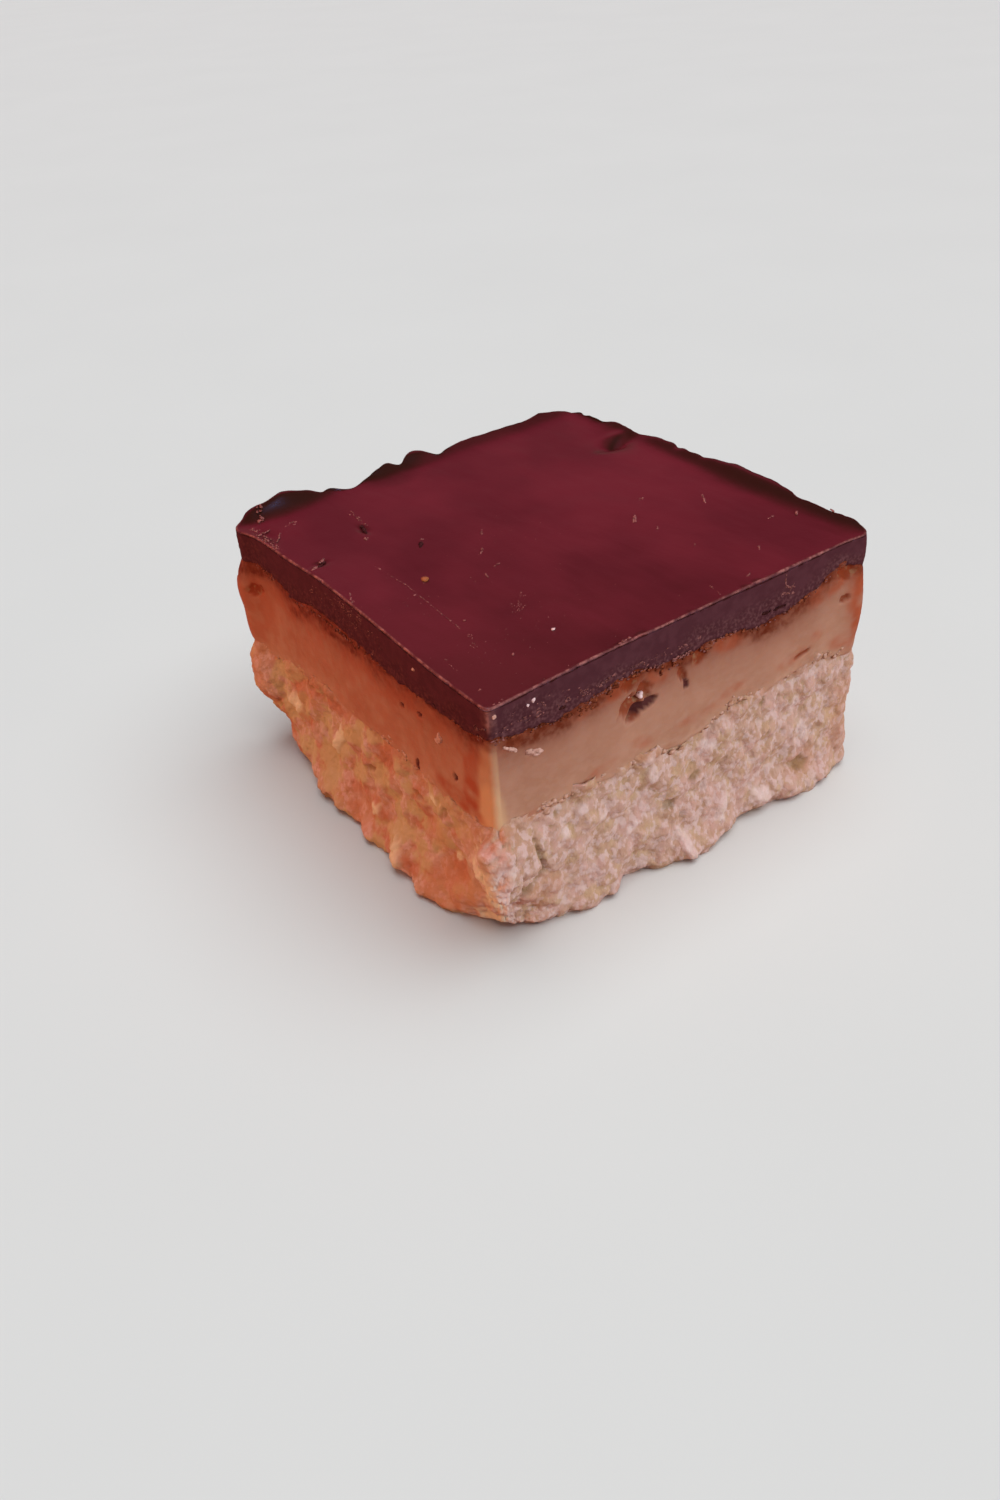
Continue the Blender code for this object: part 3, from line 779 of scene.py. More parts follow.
def crumb_field(points):
    """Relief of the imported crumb, how deep each point lies, and the tone of its grain."""
    bent = points + 0.14 * np.stack([layered(points, 0.9, salt, 2) for salt in (40, 43, 46)], axis=1)
    relief = 0.10 * layered(points, 3.4, 49, 3) + 0.07 * layered(points, 0.6, 53, 2)
    deep = np.ones(len(points))
    tone = np.zeros(len(points))
    for size, salt, dome_relief, step_relief, dome_depth, step_depth, tone_share in GRAINS:
        dome, number = pebbles(bent, size, salt)
        relief += dome_relief * (dome - DOME_MEAN) + step_relief * (number - 0.5)
        deep -= dome_depth * dome + step_depth * (number - 0.5)
        tone += tone_share * number
    return relief, deep, tone


def base_side(u, v, out_u, out_v, z, seam):
    """Offset of the base's side and the values that colour it."""
    points = np.stack([u, v, z], axis=1)
    out = in_plan(out_u, out_v)
    corner = bell(u * u + v * v, CORNER_REACH)
    swell = form(u, v, z, BASE_FORM)
    ragged = 0.22 * layered(points + out * (swell * corner)[:, None], 0.9, 57, 2)
    ledge, _ = marks(u, v, z, LEDGE, 1.6 * ragged)
    swell = swell + ledge
    turned = points + out * (swell * corner)[:, None]
    rough = np.array([
        CRUMB_RELIEF * (CRUMB_MEAN - noise.voronoi(Vector(point) / CRUMB_SIZE)[0][0])
        + CRAG_RELIEF * noise.noise(Vector(point) / CRAG_SIZE)
        for point in turned
    ])
    calm = 1.0 - (1.0 - TIN_SIDE_RELIEF) * tin_share(u, v)
    smeared = washes(u, v, z, SMEARS)
    left = (1.0 - tin_share(u, v)) * smooth(4.0, 9.0, v - u)
    relief, deep, tone = crumb_field(points + out * swell[:, None])
    relief = relief * (1.0 - 0.45 * smeared) * (1.0 - 0.15 * left)
    rough = rough * (1.0 - CRAG_CALM)
    pits, pit_cover = marks(u, v, z, PITS, 1.6 * ragged)
    flakes, flake_cover = marks(u, v, z, FLAKES, 1.6 * ragged)
    offset = swell + calm * (rough + relief) + 0.8 * pits + 0.8 * flakes
    offset -= 0.3 * smooth(-0.2, 0.8, z - seam)
    values = {
        # deep and pit carry painted shade into the crevices and pits.
        "deep": np.clip(deep + 0.35 * pit_cover - 0.25 * flake_cover, 0.0, 1.0),
        "tone": np.clip(tone + 0.3 * flake_cover - 0.2 * pit_cover, 0.0, 1.0),
        "smear": smeared,
        # Share of the left face, whose orange is partly caramel smear, partly painted warm shade.
        "left": left,
        # Share of the left-facing faces, where the flakes get a painted light correction.
        "facing_left": (1.0 - tin_share(u, v)) * smooth(-0.4, 0.8, v - u),
        "flake": flake_cover,
        "pit": pit_cover,
        "soak": bell((seam - z) ** 2, 1.1),
        "high": smooth(9.0, 17.0, z),
    }
    return offset, values


def make_base(material):
    """The crumbly base: packed grains, pits, pale flakes and a ragged foot."""
    count = columns(BASE_STEP)
    rows = round(BASE_TOP / BASE_ROW)
    side = []
    for row in range(rows + 1):
        share = row / rows
        level = share * BASE_TOP
        radii = [
            radius + wear * math.exp(-((level / rise) ** 2))
            for radius, wear, rise in zip(CORNER_RADII, FOOT_WEAR, FOOT_WEAR_RISE)
        ]
        u, v, out_u, out_v = plan(radii, count, CROWD).T
        seam = caramel_bottom(u, v) + 0.55 * layered(in_plan(u, v), 2.6, 63, 5)
        z = share * (seam + BASE_LAP)
        offset, values = base_side(u, v, out_u, out_v, z, seam)
        offset -= FOOT_ROUNDING * bell(z * z, FOOT_ROUNDING_RISE)
        side.append((np.stack([u + out_u * offset, v + out_v * offset, z], axis=1), values))
    low_edge, high_edge = side[0][0], side[-1][0]
    under = [(in_plan(*cap_plan(low_edge, inset).T), {}) for inset in UNDER_INSETS]
    over = cap(high_edge, CAP_INSETS, caramel_bottom, 0.3)
    piece = loft("shortbread", under + side + over, material)
    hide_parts("shortbread_base")


# Caramel

def make_caramel(material):
    """The smooth soft layer with its bubbles, stained under the chocolate."""
    count = columns(CARAMEL_STEP)
    rows = round((CHOCOLATE_BOTTOM - BASE_TOP) / CARAMEL_STEP)
    u, v, out_u, out_v = plan(CORNER_RADII, count).T
    plan_points = in_plan(u, v)
    bottom = caramel_bottom(u, v) - CARAMEL_LOWER_LAP + 0.20 * layered(plan_points, 2.4, 61)
    top = chocolate_bottom(u, v) + CARAMEL_UPPER_LAP
    side = []
    for row in range(rows + 1):
        z = bottom + row / rows * (top - bottom)
        points = np.stack([u, v, z], axis=1)
        sag = CARAMEL_SAG * np.array([noise.noise(Vector(point) / CARAMEL_SAG_SIZE) for point in points])
        ragged = 0.3 * layered(points, 1.0, 67, 2)
        hollows, cavity = marks(u, v, z, BUBBLES, ragged)
        pockets, amber = marks(u, v, z, POCKETS, 1.3 * ragged)
        surface = 0.06 * layered(points, 2.6, 71) + 0.02 * layered(points * (1.0, 1.0, 3.0), 0.9, 75)
        below = np.maximum(top - z, 0.0)
        above = z - bottom
        ooze = 0.16 * bell((above - 2.0) ** 2, 1.0) * (0.5 + 0.5 * wander(plan_points, 3.0, 79))
        offset = form(u, v, z, CARAMEL_FORM) + sag + hollows + pockets + surface + ooze
        offset -= 0.60 * (1.0 - smooth(0.1, 1.0, above)) + 0.10 * bell(below**2, 0.5)
        mottle = np.clip(0.65 + 0.55 * layered(points * (0.7, 0.6, 1.2), 1.8, 83, 4), 0.0, 1.4)
        broad = np.clip(0.75 + 0.5 * layered(plan_points, 7.0, 87, 2), 0.35, 1.3)
        values = {
            "stain": np.exp(-below / STAIN_REACH),
            "rust": np.clip(2.4 * mottle * broad * np.exp(-((below / RUST_REACH) ** 2)), 0.0, 1.0),
            # Bubble hollows darkened: painted shade.
            "cavity": np.clip(2.5 * cavity, 0.0, 1.0),
            "amber": np.clip(1.8 * amber, 0.0, 1.0),
            # Reddish patches, and painted warm shade over the left face.
            "ruddy": washes(u, v, z, RUDDY_AND_WARM_SHADE) * np.clip(0.75 + 0.5 * layered(points, 1.6, 85), 0.0, 1.0),
            # Painted light on the front corner.
            "honey": washes(u, v, z, PAINTED_CORNER_LIGHT),
            "crumby": bell((above - 1.3) ** 2, 0.9) * np.clip(0.5 + layered(points, 1.0, 89, 2), 0.0, 1.0),
        }
        side.append((np.stack([u + out_u * offset, v + out_v * offset, z], axis=1), values))
    under = cap(side[0][0], CAP_INSETS[::-1], caramel_bottom, 0.0)
    over = cap(side[-1][0], CAP_INSETS, chocolate_bottom, 0.1)
    piece = loft("caramel", under + side + over, material)
    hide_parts("caramel_layer")


# Chocolate

def painted_rim_reflection(u, v):
    """One on the band of painted dark reflection along the raised lip of the two far edges, nought on the
    top.
    """
    wobble = 0.5 * layered(in_plan(u, v), 4.0, 141, 2)
    back_width = RIM_BACK + waves(u, v, RIM_REACHES) + wobble
    right_width = RIM_RIGHT + wobble
    for place_v, reach, width in RIM_RIGHT_REACHES:
        right_width += width * bell((v - place_v) ** 2, reach)
    back = 1.0 - smooth(*RIM_EDGE, (DEPTH + 0.6 - v) / np.maximum(back_width, 0.5))
    right = 1.0 - smooth(*RIM_EDGE, (WIDTH + 0.4 - u) / np.maximum(right_width, 0.5))
    return np.maximum(back, right)


def painted_slit_shade(u, v):
    """One along the thin crescent of painted shade in the dent near the back."""
    su, sv, long, wide, tilt, bend = SLIT
    turn = math.radians(tilt)
    along = (u - su) * math.cos(turn) + (v - sv) * math.sin(turn)
    across = (v - sv) * math.cos(turn) - (u - su) * math.sin(turn) + bend * along**2
    return bell((along / long) ** 4 + (across / wide) ** 2, 1.0)


def top_rings(u, v):
    """Height of the faint rings left where the chocolate was poured."""
    ru, rv, reach, turn, height = RINGS
    away = np.hypot(u - ru, v - rv)
    return height * np.sin(away * turn) * bell(away**2, reach)


def make_chocolate(material):
    """The chocolate: crisp cut sides, a chipped arris, a smooth top and a raised lobed rim."""
    count = columns(CHOCOLATE_STEP)
    rows = round((CHOCOLATE_TOP - CHOCOLATE_BOTTOM) / CHOCOLATE_ROW)
    u, v, out_u, out_v = plan(CORNER_RADII, count).T
    plan_points = in_plan(u, v)
    tin = tin_share(u, v)
    ragged = (1.0 - tin) * (0.25 * layered(plan_points, 1.5, 91) + 0.12 * layered(plan_points, 0.6, 95))
    bottom = chocolate_bottom(u, v) + ragged
    top = chocolate_top(u, v)
    chipped = np.clip(layered(plan_points, 1.4, 99) - 0.8, 0.0, 0.5) * (1.0 - tin)
    line = (1.0 - tin) * np.clip(0.62 + 0.5 * layered(plan_points, 0.9, 97), 0.15, 1.0)
    corner_line = bell(u**2 + v**2, 0.6) * np.clip(0.9 + 0.6 * layered(plan_points, 0.5, 98), 0.0, 1.0)
    lobes = waves(u, v, LOBES)
    levels = [row / rows for row in range(rows)]
    side = []
    for share in levels + [0.95, 1.0]:
        z = bottom + share * (top - ARRIS - bottom)
        points = np.stack([u, v, z], axis=1)
        wobble = TIN_EDGE_WOBBLE * np.array([noise.noise(Vector(point) / TIN_EDGE_SIZE) for point in points])
        wobble = tin * (wobble + 0.12 * layered(points, 1.3, 100, 2))
        lower = 1.0 - smooth(0.15, 0.6, share + 0.22 * wander(points, 3.0, 101))
        rough = (1.0 - tin) * np.maximum(lower, washes(u, v, z, GRAZES))
        crumbly = rough * (0.10 * layered(points, 0.7, 103, 2) + 0.05 * layered(points, 1.8, 107, 2))
        drag = (1.0 - tin) * 0.02 * layered(points * (1.0, 1.0, 4.0), 1.6, 111)
        offset = waves(u, v, CHOCOLATE_FORM) + lobes * tin + wobble + crumbly + drag
        offset -= tin * (0.5 * bell((z - top) ** 2, 0.7) + 0.35 * bell((z - bottom) ** 2, 0.8))
        offset -= 0.6 * chipped * bell((z - top) ** 2, 0.3)
        values = {
            # Pale arris and front corner line: partly chipped wear, partly a painted highlight.
            "worn": np.maximum(line * (share == 1.0), corner_line * smooth(0.1, 0.5, share)),
            "cut": 1.0 - tin,
            # Share of the right cut face, where the chocolate is painted lighter and cooler: painted light.
            "right": (1.0 - tin) * smooth(-0.6, 0.6, u - v),
            "rough": rough,
            # The far tin sides take the dark rim colour too: painted dark reflection.
            "rim": tin,
        }
        side.append((np.stack([u + out_u * offset, v + out_v * offset, z], axis=1), values))
    edge = side[-1][0]
    calm = waves(u, v, CHOCOLATE_FORM) + lobes * tin - 0.5 * tin
    calm_edge = np.column_stack([u + out_u * calm, v + out_v * calm])
    over = []
    for inset in [*TOP_EDGE_INSETS, *(TOP_INSET + CHOCOLATE_STEP * step for step in range(TOP_RINGS))]:
        fu, fv = cap_plan(edge, inset, calm_edge).T
        points = in_plan(fu, fv)
        height = chocolate_top(fu, fv, inset) + 0.03 * layered(points, 9.0, 121)
        height += top_rings(fu, fv)
        height += 0.009 * layered(points * (1.0, 0.3, 1.0), 1.0, 125, 2)
        for du, dv, wide, long, depth in DENTS:
            height += depth * bell(((fu - du) / wide) ** 2 + ((fv - dv) / long) ** 2, 1.0)
        height -= 0.4 * chipped * math.exp(-((inset / 0.3) ** 2))
        values = {
            # Pale arris: partly chipped wear, partly a painted highlight.
            "worn": line * (inset == ARRIS),
            # Painted dark reflection along the lip, painted shade in the slit.
            "rim": np.maximum(painted_rim_reflection(fu, fv), painted_slit_shade(fu, fv)),
        }
        over.append((np.column_stack([fu, fv, height]), values))
    under = cap(side[0][0], (7.0, 2.4, 0.6), chocolate_bottom, 0.0)
    piece = loft("chocolate", under + side + over, material)
    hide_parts("chocolate_top")


# Crumbs and fine marks

def lump(draw, fineness):
    """A broken lump about one unit in radius, as points and faces."""
    made = bmesh.new()
    bmesh.ops.create_icosphere(made, subdivisions=fineness, radius=1.0)
    points = np.array([vert.co[:] for vert in made.verts])
    faces = [[vert.index for vert in face.verts] for face in made.faces]
    made.free()
    push = 1.0 + 0.45 * wander(points + draw.uniform(0.0, 50.0, 3), 0.9, 131)
    return points * push[:, None] * draw.uniform(0.7, 1.25, 3), faces


def surface_spot(face, along, height):
    """The place on a cut face or the top, and the directions along it, across it and out of it."""
    if face == TOP:
        far = chocolate_top(np.array([along]), np.array([height]), min(along, height))[0]
        return np.array([along, height, far]), np.eye(3)
    at = np.array([0.0])
    if face == RIGHT:
        u, v = np.array([along]), at
        axes = np.array([(1.0, 0.0, 0.0), (0.0, 0.0, 1.0), (0.0, -1.0, 0.0)])
    else:
        u, v = at, np.array([along])
        axes = np.array([(0.0, 1.0, 0.0), (0.0, 0.0, 1.0), (-1.0, 0.0, 0.0)])
    if height > chocolate_bottom(u, v)[0]:
        out = waves(u, v, CHOCOLATE_FORM)[0]
    else:
        level = np.array([height])
        out = form(u, v, level, CARAMEL_FORM)[0] + marks(u, v, level, BUBBLES + POCKETS)[0][0]
    return np.array([u[0], v[0], height]) + out * axes[2], axes


def join(name, lumps, material):
    """All lumps of one kind as one mesh."""
    points, faces, base = [], [], 0
    for shape, corners in lumps:
        points.append(shape)
        faces.extend([[index + base for index in corner] for corner in corners])
        base += len(shape)
    mesh = bpy.data.meshes.new(name)
    placed = (np.vstack(points) + np.array((*FRONT_CORNER, 0.0))) * MILLIMETRE
    mesh.from_pydata(placed.tolist(), [], faces)
    mesh.shade_smooth()
    mesh.materials.append(material)
    place(name, mesh)


def make_crumbs():
    """The crumbs on the cut faces and the top, the scuffs and scratches, and the grit."""
    draw = np.random.default_rng(CRUMB_SEED)
    kinds = {tone: [] for tone in TONES}
    for face, along, height, size, squash, tone in CRUMBS:
        shape, faces = lump(draw, 3)
        spot, axes = surface_spot(face, along, height)
        kinds[tone].append((spot + (shape * size * (1.0, 1.0, squash)) @ axes, faces))
    for face, from_x, from_y, to_x, to_y, spread, bits, size, tone in STROKES:
        way = np.array([to_x - from_x, to_y - from_y])
        way = way / np.linalg.norm(way)
        turn = np.array([(way[0], way[1], 0.0), (-way[1], way[0], 0.0), (0.0, 0.0, 1.0)])
        for _ in range(bits):
            share = draw.uniform()
            shift = spread * draw.normal() * BIT_SPREAD
            along = from_x + share * (to_x - from_x) - shift * way[1]
            height = from_y + share * (to_y - from_y) + shift * way[0]
            if face == TOP:
                along, height = abs(along), abs(height)
            shape, faces = lump(draw, 1)
            spot, axes = surface_spot(face, along, height)
            reach = size * draw.uniform(*BIT_SIZES)
            shape = shape * reach * (1.0 + BIT_STRETCH * draw.uniform(), 1.0, BIT_SQUASH)
            kinds[tone].append((spot + (shape @ turn) @ axes, faces))
    grit = [(chocolate_bottom, *row) for row in CHOCOLATE_GRIT]
    grit += [(caramel_bottom, *row) for row in CARAMEL_GRIT]
    for seam_of, face, start, end, low, spread, bits, size, tone in grit:
        for _ in range(bits):
            along = start + draw.uniform() * (end - start)
            at = np.array([along]), np.array([0.0])
            height = seam_of(*(at if face == RIGHT else at[::-1]))[0]
            shape, faces = lump(draw, 1)
            fall = spread * draw.normal()
            fall = abs(fall) if seam_of is chocolate_bottom else fall
            spot, axes = surface_spot(face, along, height - low - fall)
            shape = shape * size * draw.uniform(*GRIT_SIZES) * GRIT_SHAPE
            kinds[tone].append((spot + shape @ axes, faces))
    for tone, lumps in kinds.items():
        slot, *look = TONES[tone]
        join(f"bits_{tone}", lumps, bit_material(*look))


# Materials

def shader_of(name):
    """A new material, its node tree and its main shader."""
    material = bpy.data.materials.new(name)
    material.use_nodes = True
    tree = material.node_tree
    return material, tree, tree.nodes["Principled BSDF"]


def object_noise(tree, size, detail=3.0, stretch=(1.0, 1.0, 1.0)):
    """Noise in the object's own space with lumps of the given size in millimetres."""
    where = tree.nodes.new("ShaderNodeTexCoord")
    scale = tree.nodes.new("ShaderNodeMapping")
    scale.inputs["Scale"].default_value = [axis / (size * MILLIMETRE) for axis in stretch]
    texture = tree.nodes.new("ShaderNodeTexNoise")
    texture.inputs["Scale"].default_value = 1.0
    texture.inputs["Detail"].default_value = detail
    tree.links.new(where.outputs["Object"], scale.inputs["Vector"])
    tree.links.new(scale.outputs["Vector"], texture.inputs["Vector"])
    return texture.outputs["Fac"]


def ranged(tree, value, low, high, to_low=0.0, to_high=1.0):
    """A value spread from one range to another, held at its ends."""
    spread = tree.nodes.new("ShaderNodeMapRange")
    limits = {"From Min": low, "From Max": high, "To Min": to_low, "To Max": to_high}
    for key, limit in limits.items():
        spread.inputs[key].default_value = limit
    tree.links.new(value, spread.inputs["Value"])
    return spread.outputs["Result"]


def attribute(tree, name):
    """A value stored on the points of the mesh."""
    made = tree.nodes.new("ShaderNodeAttribute")
    made.attribute_name = name
    return made.outputs["Fac"]


def times(tree, first, second):
    """The product of a value and a number or another value."""
    made = tree.nodes.new("ShaderNodeMath")
    made.operation = "MULTIPLY"
    tree.links.new(first, made.inputs[0])
    if isinstance(second, float):
        made.inputs[1].default_value = second
    else:
        tree.links.new(second, made.inputs[1])
    return made.outputs["Value"]


def blend(tree, first, second, share):
    """Mix two colours by a share."""
    mix = tree.nodes.new("ShaderNodeMix")
    mix.data_type = "RGBA"
    tree.links.new(share, mix.inputs[0])
    for socket, colour in ((mix.inputs[6], first), (mix.inputs[7], second)):
        if isinstance(colour, tuple):
            socket.default_value = (*colour, 1.0)
        else:
            tree.links.new(colour, socket)
    return mix.outputs[2]


def tinted(tree, colour, paint, name, strength):
    """A colour with another laid over it where the mesh's stored value says."""
    return blend(tree, colour, paint, times(tree, attribute(tree, name), strength))


def bump(tree, shader, height, strength, distance):
    """Fine relief on a shader; the distance is in millimetres."""
    made = tree.nodes.new("ShaderNodeBump")
    made.inputs["Strength"].default_value = strength
    made.inputs["Distance"].default_value = distance * MILLIMETRE
    tree.links.new(height, made.inputs["Height"])
    tree.links.new(made.outputs["Normal"], shader.inputs["Normal"])


def shortbread_material():
    """Pale curdy crumb with olive shade painted into its crevices and pits, smeared with caramel on its left
    side, where part of the orange is painted warm shade.
    """
    material, tree, shader = shader_of("shortbread")
    left = attribute(tree, "left")
    tone = ranged(tree, attribute(tree, "tone"), 0.28, 0.72)
    colour = blend(tree, (0.48, 0.325, 0.215), (0.59, 0.43, 0.34), tone)
    yellow = ranged(tree, object_noise(tree, 3.0, 4.0), 0.48, 0.62, 0.0, 0.6)
    colour = blend(tree, colour, (0.56, 0.425, 0.245), yellow)
    rosy = ranged(tree, object_noise(tree, 3.6, 3.0, (1.1, 0.9, 1.0)), 0.48, 0.62, 0.0, 0.6)
    colour = blend(tree, colour, (0.60, 0.405, 0.350), rosy)
    speck = ranged(tree, object_noise(tree, 0.9, 4.0, (1.0, 1.0, 0.8)), 0.50, 0.58, 0.0, 0.75)
    colour = blend(tree, colour, (0.67, 0.545, 0.495), speck)
    # Crevices and pits darkened to olive brown: painted shade.
    crevice_shade = blend(tree, (0.36, 0.225, 0.13), (0.36, 0.255, 0.105), attribute(tree, "high"))
    colour = blend(tree, colour, crevice_shade, ranged(tree, attribute(tree, "deep"), 0.42, 0.90, 0.0, 0.75))
    # Orange over the left face only: partly caramel smear, partly painted warm shade.
    orange = ranged(tree, object_noise(tree, 6.0, 3.0, (1.0, 0.8, 1.2)), 0.46, 0.60, 0.05, 0.75)
    colour = blend(tree, colour, (0.49, 0.188, 0.095), times(tree, left, orange))
    olive = ranged(tree, object_noise(tree, 4.2, 3.0, (0.9, 1.0, 1.1)), 0.47, 0.56, 0.0, 0.8)
    colour = blend(tree, colour, (0.55, 0.485, 0.26), times(tree, left, olive))
    colour = tinted(tree, colour, (0.54, 0.26, 0.13), "smear", 0.6)
    soaked = ranged(tree, object_noise(tree, 1.6, 3.0), 0.40, 0.60, 0.25, 0.9)
    colour = tinted(tree, colour, (0.46, 0.26, 0.15), "soak", soaked)
    # Flakes on left-facing faces are tinted greener to cancel the warm left lamp: a painted light
    # correction, not a real difference.
    facing = attribute(tree, "facing_left")
    pale = blend(tree, (0.78, 0.69, 0.64), (0.76, 0.77, 0.56), facing)
    cover = times(tree, attribute(tree, "flake"), ranged(tree, facing, 0.0, 1.0, 0.6, 0.85))
    colour = blend(tree, colour, pale, cover)
    # Pits darkened further: painted shade.
    colour = tinted(tree, colour, (0.25, 0.175, 0.07), "pit", 0.5)
    tree.links.new(colour, shader.inputs["Base Color"])
    shader.inputs["Roughness"].default_value = 0.78
    shader.inputs["Specular IOR Level"].default_value = 0.3
    shader.inputs["Subsurface Weight"].default_value = 0.1
    shader.inputs["Subsurface Radius"].default_value = (1.0, 0.55, 0.35)
    shader.inputs["Subsurface Scale"].default_value = 0.0006
    grain = times(tree, object_noise(tree, 0.42, 5.0), ranged(tree, left, 0.0, 1.0, 1.0, 0.8))
    bump(tree, shader, grain, 0.7, 0.24)
    return material


def caramel_material():
    """Soft caramel, red-brown where the chocolate lies on it, with painted shade in its bubbles, painted
    warm shade over the left face and painted light on the front corner.
    """
    material, tree, shader = shader_of("caramel")
    tone = ranged(tree, object_noise(tree, 7.0, 3.0), 0.35, 0.65)
    colour = blend(tree, (0.44, 0.255, 0.160), (0.50, 0.305, 0.200), tone)
    flecks = ranged(tree, object_noise(tree, 1.3, 4.0, (1.0, 1.0, 1.6)), 0.44, 0.60, 0.0, 0.35)
    colour = blend(tree, colour, (0.52, 0.34, 0.235), flecks)
    colour = tinted(tree, colour, (0.19, 0.042, 0.022), "stain", 0.92)
    colour = tinted(tree, colour, (0.56, 0.38, 0.26), "crumby", 0.5)
    # Lighter band on the front corner: painted light.
    colour = tinted(tree, colour, (0.66, 0.47, 0.26), "honey", 0.85)
    # Reddish patches, and painted warm shade over the left face.
    colour = tinted(tree, colour, (0.38, 0.082, 0.028), "ruddy", 0.85)
    dots = ranged(tree, object_noise(tree, 0.8, 4.0), 0.36, 0.60, 0.50, 1.0)
    colour = tinted(tree, colour, (0.135, 0.028, 0.010), "rust", dots)
    olive = ranged(tree, object_noise(tree, 1.1), 0.54, 0.66)
    pocket = blend(tree, (0.23, 0.043, 0.012), (0.28, 0.15, 0.075), olive)
    colour = tinted(tree, colour, pocket, "amber", 0.85)
    # Bubble hollows darkened almost to black: painted shade.
    colour = tinted(tree, colour, (0.090, 0.026, 0.026), "cavity", 0.95)
    tree.links.new(colour, shader.inputs["Base Color"])
    dull = ranged(tree, attribute(tree, "cavity"), 0.0, 0.6, 0.45, 0.95)
    tree.links.new(dull, shader.inputs["Roughness"])
    shader.inputs["Specular IOR Level"].default_value = 0.25
    shader.inputs["Subsurface Weight"].default_value = 0.3
    shader.inputs["Subsurface Radius"].default_value = (1.0, 0.42, 0.20)
    shader.inputs["Subsurface Scale"].default_value = 0.0009
    bump(tree, shader, object_noise(tree, 0.8, 3.0), 0.2, 0.15)
    return material


def chocolate_material():
    """Set chocolate: glossy top, satin where cut, pale along the chipped edge, partly a painted highlight;
    painted dark reflection on the lip and tin sides; the right cut face painted lighter and cooler.
    """
    material, tree, shader = shader_of("chocolate")
    broad = ranged(tree, object_noise(tree, 15.0, 3.0, (1.0, 0.7, 1.0)), 0.38, 0.62)
    top = blend(tree, (0.049, 0.0102, 0.0100), (0.083, 0.0146, 0.0173), broad)
    knife = ranged(tree, object_noise(tree, 1.4, 4.0), 0.42, 0.62)
    side = blend(tree, (0.064, 0.014, 0.021), (0.080, 0.018, 0.027), knife)
    # The right cut face is the same chocolate painted lighter and cooler: painted light from the right.
    cool_lit_side = blend(tree, (0.066, 0.0235, 0.0315), (0.082, 0.0310, 0.0400), knife)
    side = blend(tree, side, cool_lit_side, attribute(tree, "right"))
    colour = blend(tree, top, side, attribute(tree, "cut"))
    # Dark rim and slit: painted dark reflection and painted shade.
    colour = tinted(tree, colour, (0.024, 0.010, 0.005), "rim", 0.9)
    grit = ranged(tree, object_noise(tree, 0.42, 4.0), 0.46, 0.72)
    grain = blend(tree, (0.046, 0.010, 0.012), (0.155, 0.052, 0.046), grit)
    # The grain on the right cut face is painted lighter and cooler too: painted light.
    cool_lit_side = blend(tree, (0.055, 0.020, 0.025), (0.185, 0.095, 0.095), grit)
    grain = blend(tree, grain, cool_lit_side, attribute(tree, "right"))
    colour = tinted(tree, colour, grain, "rough", 0.65)
    streak = ranged(tree, object_noise(tree, 0.5, 3.0), 0.36, 0.60, 0.35, 0.95)
    # Pale edge line: partly chipped wear, partly a painted highlight.
    colour = tinted(tree, colour, (0.36, 0.175, 0.150), "worn", streak)
    tree.links.new(colour, shader.inputs["Base Color"])
    tree.links.new(ranged(tree, attribute(tree, "cut"), 0.0, 1.0, 0.30, 0.50), shader.inputs["Roughness"])
    shader.inputs["Specular IOR Level"].default_value = 0.5
    bump(tree, shader, object_noise(tree, 0.5, 4.0), 0.12, 0.08)
    return material


def bit_material(name, dark, light, roughness):
    """A plain two-tone crumb."""
    material, tree, shader = shader_of(name)
    colour = blend(tree, dark, light, ranged(tree, object_noise(tree, 0.5), 0.4, 0.6))
    tree.links.new(colour, shader.inputs["Base Color"])
    shader.inputs["Roughness"].default_value = roughness
    return material


def floor_material():
    """Pale floor that still throws the warm pink light of a coloured ground on the food."""
    material, tree, shader = shader_of("pale_floor")
    pale = blend(tree, *FLOOR_TONES, object_noise(tree, 60.0))
    path = tree.nodes.new("ShaderNodeLightPath")
    colour = blend(tree, FLOOR_BOUNCE, FLOOR_GLOSS, path.outputs["Is Glossy Ray"])
    colour = blend(tree, colour, pale, path.outputs["Is Camera Ray"])
    tree.links.new(colour, shader.inputs["Base Color"])
    shader.inputs["Roughness"].default_value = 0.8
    shader.inputs["Specular IOR Level"].default_value = 0.2
    return material


# Stage

def make_floor():
    """A wide floor under the food."""
    bpy.ops.mesh.primitive_plane_add(size=FLOOR_SIZE, location=(0.0, 0.0, 0.0))
    floor = bpy.context.active_object
    floor.name = "floor"
    floor.data.materials.append(floor_material())
    return floor


def background(tree, colour, strength):
    """A background of one colour."""
    made = tree.nodes.new("ShaderNodeBackground")
    made.inputs["Color"].default_value = (*colour, 1.0)
    made.inputs["Strength"].default_value = strength
    return made


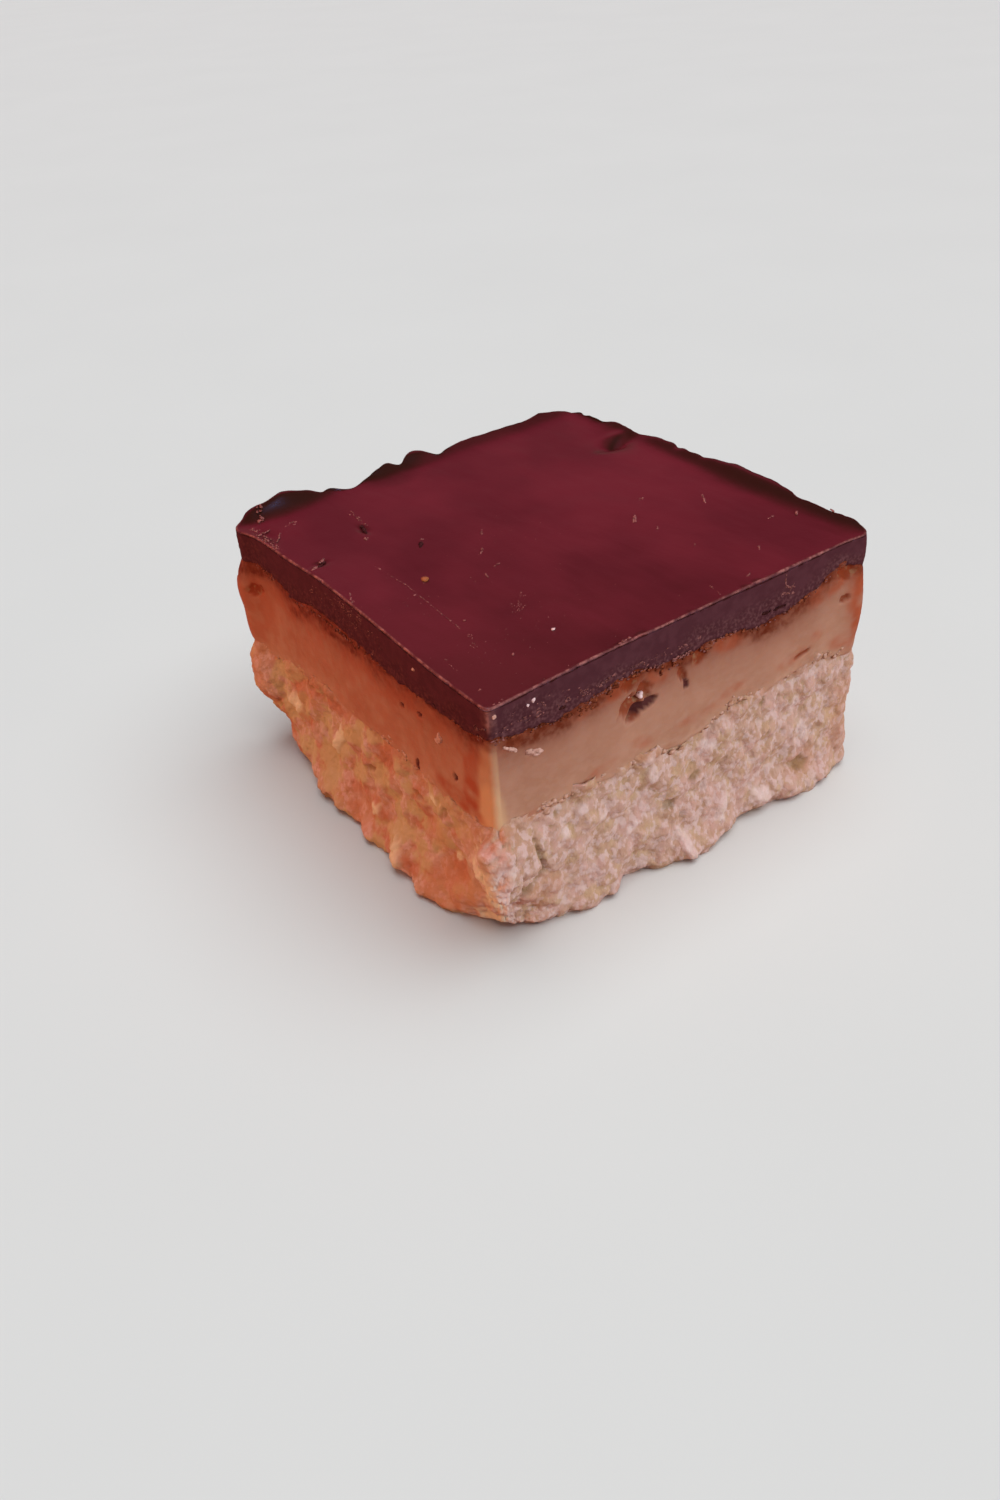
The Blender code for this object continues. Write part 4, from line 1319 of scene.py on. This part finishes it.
def make_world():
    """Soft surroundings: pale to the eye, dim as light, rose low down in reflections."""
    world = bpy.data.worlds.new("studio")
    bpy.context.scene.world = world
    world.use_nodes = True
    tree = world.node_tree
    tree.nodes.clear()
    out = tree.nodes.new("ShaderNodeOutputWorld")
    eye = background(tree, *WORLD_SEEN)
    soft = background(tree, *WORLD_LIGHT)
    gloss = background(tree, (0.0, 0.0, 0.0), 1.0)
    where = tree.nodes.new("ShaderNodeTexCoord")
    parts = tree.nodes.new("ShaderNodeSeparateXYZ")
    ramp = tree.nodes.new("ShaderNodeValToRGB")
    ramp.color_ramp.elements[0].position, ramp.color_ramp.elements[0].color = WORLD_GLOSS[0]
    ramp.color_ramp.elements[1].position, ramp.color_ramp.elements[1].color = WORLD_GLOSS[-1]
    for position, colour in WORLD_GLOSS[1:-1]:
        ramp.color_ramp.elements.new(position).color = colour
    path = tree.nodes.new("ShaderNodeLightPath")
    first = tree.nodes.new("ShaderNodeMixShader")
    second = tree.nodes.new("ShaderNodeMixShader")
    tree.links.new(where.outputs["Generated"], parts.inputs["Vector"])
    tree.links.new(parts.outputs["Z"], ramp.inputs["Fac"])
    tree.links.new(ramp.outputs["Color"], gloss.inputs["Color"])
    tree.links.new(path.outputs["Is Glossy Ray"], first.inputs["Fac"])
    tree.links.new(soft.outputs["Background"], first.inputs[1])
    tree.links.new(gloss.outputs["Background"], first.inputs[2])
    tree.links.new(path.outputs["Is Camera Ray"], second.inputs["Fac"])
    tree.links.new(first.outputs["Shader"], second.inputs[1])
    tree.links.new(eye.outputs["Background"], second.inputs[2])
    tree.links.new(second.outputs["Shader"], out.inputs["Surface"])


def lamp(kind, name, spot, aim, energy, colour, receivers):
    """A lamp that lights only what its receivers hold and shows in no reflection."""
    light = bpy.data.lights.new(name, kind)
    light.energy = energy
    light.color = colour
    item = bpy.data.objects.new(name, light)
    bpy.context.scene.collection.objects.link(item)
    item.location = spot
    item.rotation_euler = (Vector(aim) - Vector(spot)).to_track_quat("-Z", "Y").to_euler()
    item.light_linking.receiver_collection = receivers
    item.visible_glossy = False
    return item


def food_light(name, spot, size, watts, colour, food):
    """A square soft lamp aimed at the food."""
    item = lamp("AREA", name, spot, LAMP_AIM, watts, colour, food)
    item.data.size = size
    return item


def make_lights(food, ground):
    """Tinted soft lamps on the food, as in the photograph, and a neutral one on the floor."""
    for settings in FOOD_LIGHTS:
        food_light(*settings, food)
    name, spot, spread, strength, colour = FLOOR_LIGHT
    lamp("SUN", name, spot, (0.0, 0.0, 0.0), strength, colour, ground).data.angle = spread
    glint = food_light(*GLINT, food)
    glint.visible_glossy = True
    glint.visible_diffuse = False


def make_camera():
    """The camera at the photograph's place, heading, tilt and roll."""
    heading, down, roll = (math.radians(angle) for angle in (CAMERA_HEADING, CAMERA_DOWN, CAMERA_ROLL))
    level = math.cos(down)
    forward = Vector((math.cos(heading) * level, math.sin(heading) * level, -math.sin(down)))
    right = forward.cross(Vector((0.0, 0.0, 1.0))).normalized()
    up = right.cross(forward)
    turned_right = math.cos(roll) * right + math.sin(roll) * up
    turned_up = math.cos(roll) * up - math.sin(roll) * right
    data = bpy.data.cameras.new("camera")
    data.lens = CAMERA_LENS
    data.sensor_width = SENSOR
    data.clip_start = NEAREST_SEEN
    camera = bpy.data.objects.new("camera", data)
    bpy.context.scene.collection.objects.link(camera)
    rotation = Matrix((turned_right, turned_up, -forward)).transposed().to_4x4()
    spot = (Vector(CAMERA_PLACE) + Vector((*FRONT_CORNER, 0.0))) * MILLIMETRE
    camera.matrix_world = Matrix.Translation(spot) @ rotation
    bpy.context.scene.camera = camera


def main():
    """Build the scene."""
    bpy.context.scene.view_settings.view_transform = "Standard"
    food = bpy.data.collections.new("food")
    ground = bpy.data.collections.new("ground")
    for collection in (food, ground):
        bpy.context.scene.collection.children.link(collection)
    ground.objects.link(make_floor())
    make_camera()
    make_world()
    make_lights(food, ground)
    make_base(shortbread_material())
    make_caramel(caramel_material())
    make_chocolate(chocolate_material())
    make_crumbs()


main()
